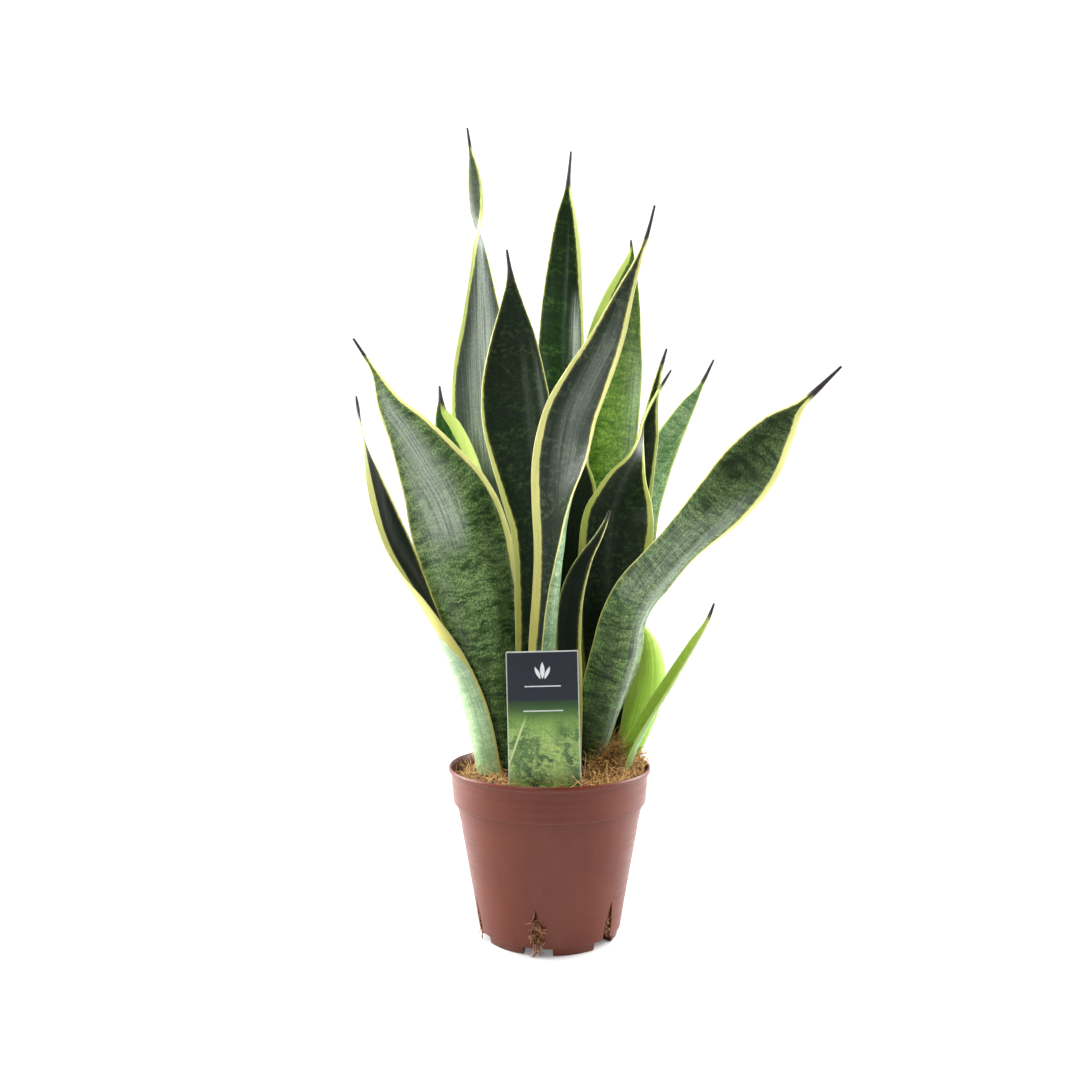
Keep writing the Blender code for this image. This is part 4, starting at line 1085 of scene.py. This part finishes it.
def make_tag():
    """The card and its stake, slightly bowed, with rounded corners."""
    half, height, stake = HALF_CARD * MM, CARD_HEIGHT * MM, STAKE_LENGTH * MM
    y = (TAG_LOW[1] + TAG_HIGH[1]) / 2
    top = TAG_HIGH[2] - 0.5 * MM
    turn = Matrix.Rotation(TAG_TILT, 3, "Y")
    levels = {-(height + stake) * k / TAG_ROWS for k in range(TAG_ROWS + 1)}
    levels = sorted(levels | {-0.1 * MM, -0.3 * MM, -CORNER_RADIUS, -height}, reverse=True)
    points, prints, faces = [], [], []
    for front in (1, 0):
        for z in levels:
            for c in range(TAG_COLUMNS):
                x = (2 * c / (TAG_COLUMNS - 1) - 1) * half_width(z)
                bow = 0.5 * MM * (x / half) ** 2 + 0.4 * MM * math.sin(math.pi * min(-z / height, 1))
                depth = y + bow + TAG_THICKNESS * (0.5 - front)
                place = turn @ Vector((x, 0, z))
                points.append((TAG_MIDDLE_X + place.x, depth, top + place.z))
                prints.append((x / half, -z / height, front))
    back, last_row = len(points) // 2, len(levels) - 1
    for r in range(last_row):
        for c in range(TAG_COLUMNS - 1):
            a = r * TAG_COLUMNS + c
            b = back + a
            faces.append((a, a + TAG_COLUMNS, a + TAG_COLUMNS + 1, a + 1))
            faces.append((b, b + 1, b + TAG_COLUMNS + 1, b + TAG_COLUMNS))
    # The thin sides, then the top edge and the point.
    for r in range(last_row):
        a, b = r * TAG_COLUMNS, (r + 1) * TAG_COLUMNS
        faces.append((a, back + a, back + b, b))
        a, b = a + TAG_COLUMNS - 1, b + TAG_COLUMNS - 1
        faces.append((a, b, back + b, back + a))
    for c in range(TAG_COLUMNS - 1):
        faces.append((c, c + 1, back + c + 1, back + c))
        a = last_row * TAG_COLUMNS + c
        faces.append((a, back + a, back + a + 1, a + 1))
    mesh = mesh_of("label", points, faces, tag_material())
    mesh.set_sharp_from_angle(angle=math.radians(40))
    float_vectors(mesh, "print", prints)
    piece("label", mesh, "tag_card", "plant_tag")


# ---------------------------------------------------------------- studio


SWEEP_START, SWEEP_RADIUS = 1.5, 1.2
CAMERA_PLACE = (-0.0057, -0.62, 0.2327)
CAMERA_LENS, CAMERA_SENSOR = 34.6, 36


def floor_material():
    m = Tree("white sweep")
    m.set(color=(0.52, 0.52, 0.52), roughness=0.9, specular=0.2)
    m.feed(m.shader.inputs["Emission Color"], (1, 1, 1))
    # It glows more towards the back, so that it is white there and casts little light from in front.
    depth = m.split(m.object_coords())[1]
    m.feed(m.shader.inputs["Emission Strength"], m.ramp(depth, -0.60, 1.60, 0.05, 0.84))
    return m.material


def make_floor():
    """A white sweep: a floor that curves up behind into a wall."""
    profile = [(-6.0, 0.0), (SWEEP_START, 0.0)]
    for k in range(1, 13):
        a = math.radians(90 * k / 12)
        profile.append((SWEEP_START + SWEEP_RADIUS * math.sin(a), SWEEP_RADIUS * (1 - math.cos(a))))
    profile.append((SWEEP_START + SWEEP_RADIUS, 5.0))
    points = [(x, y, z) for y, z in profile for x in (-7.0, 7.0)]
    faces = [(2 * k, 2 * k + 1, 2 * k + 3, 2 * k + 2) for k in range(len(profile) - 1)]
    in_scene("floor", mesh_of("sweep", points, faces, floor_material()))


def area_light(name, place, aim, size, power):
    light = bpy.data.lights.new(name, "AREA")
    light.shape = "RECTANGLE"
    light.size, light.size_y = size
    light.energy = power
    obj = in_scene(name, light)
    obj.location = place
    obj.rotation_euler = (Vector(aim) - Vector(place)).to_track_quat("-Z", "Y").to_euler()


def make_studio():
    scene = bpy.context.scene
    scene.view_settings.view_transform = "Standard"
    world = bpy.data.worlds.new("studio")
    scene.world = world
    world.use_nodes = True
    background = world.node_tree.nodes["Background"]
    background.inputs["Color"].default_value = (1, 1, 1, 1)
    background.inputs["Strength"].default_value = 0.05
    area_light("left box", (-0.80, 0.22, 0.55), (0, 0, 0.25), (0.6, 1.0), 30)
    area_light("right box", (0.80, 0.22, 0.55), (0, 0, 0.25), (0.6, 1.0), 28)
    area_light("front left box", (-0.60, -1.10, 0.95), (0, 0, 0.28), (0.30, 0.7), 8)
    area_light("top box", (0, -0.10, 1.5), (0, 0, 0), (1.2, 0.9), 17)
    area_light("back wash", (0, 1.2, 1.6), (0, 2.6, 0.7), (2.6, 0.8), 22)

    camera = bpy.data.cameras.new("camera")
    camera.sensor_width = CAMERA_SENSOR
    camera.lens = CAMERA_LENS
    camera.clip_start = 0.01
    obj = in_scene("camera", camera)
    obj.location = CAMERA_PLACE
    obj.rotation_euler = (math.radians(90), 0, 0)
    scene.camera = obj


make_leaves()
make_pot()
make_soil()
make_fibres()
make_roots()
make_tag()
make_floor()
make_studio()
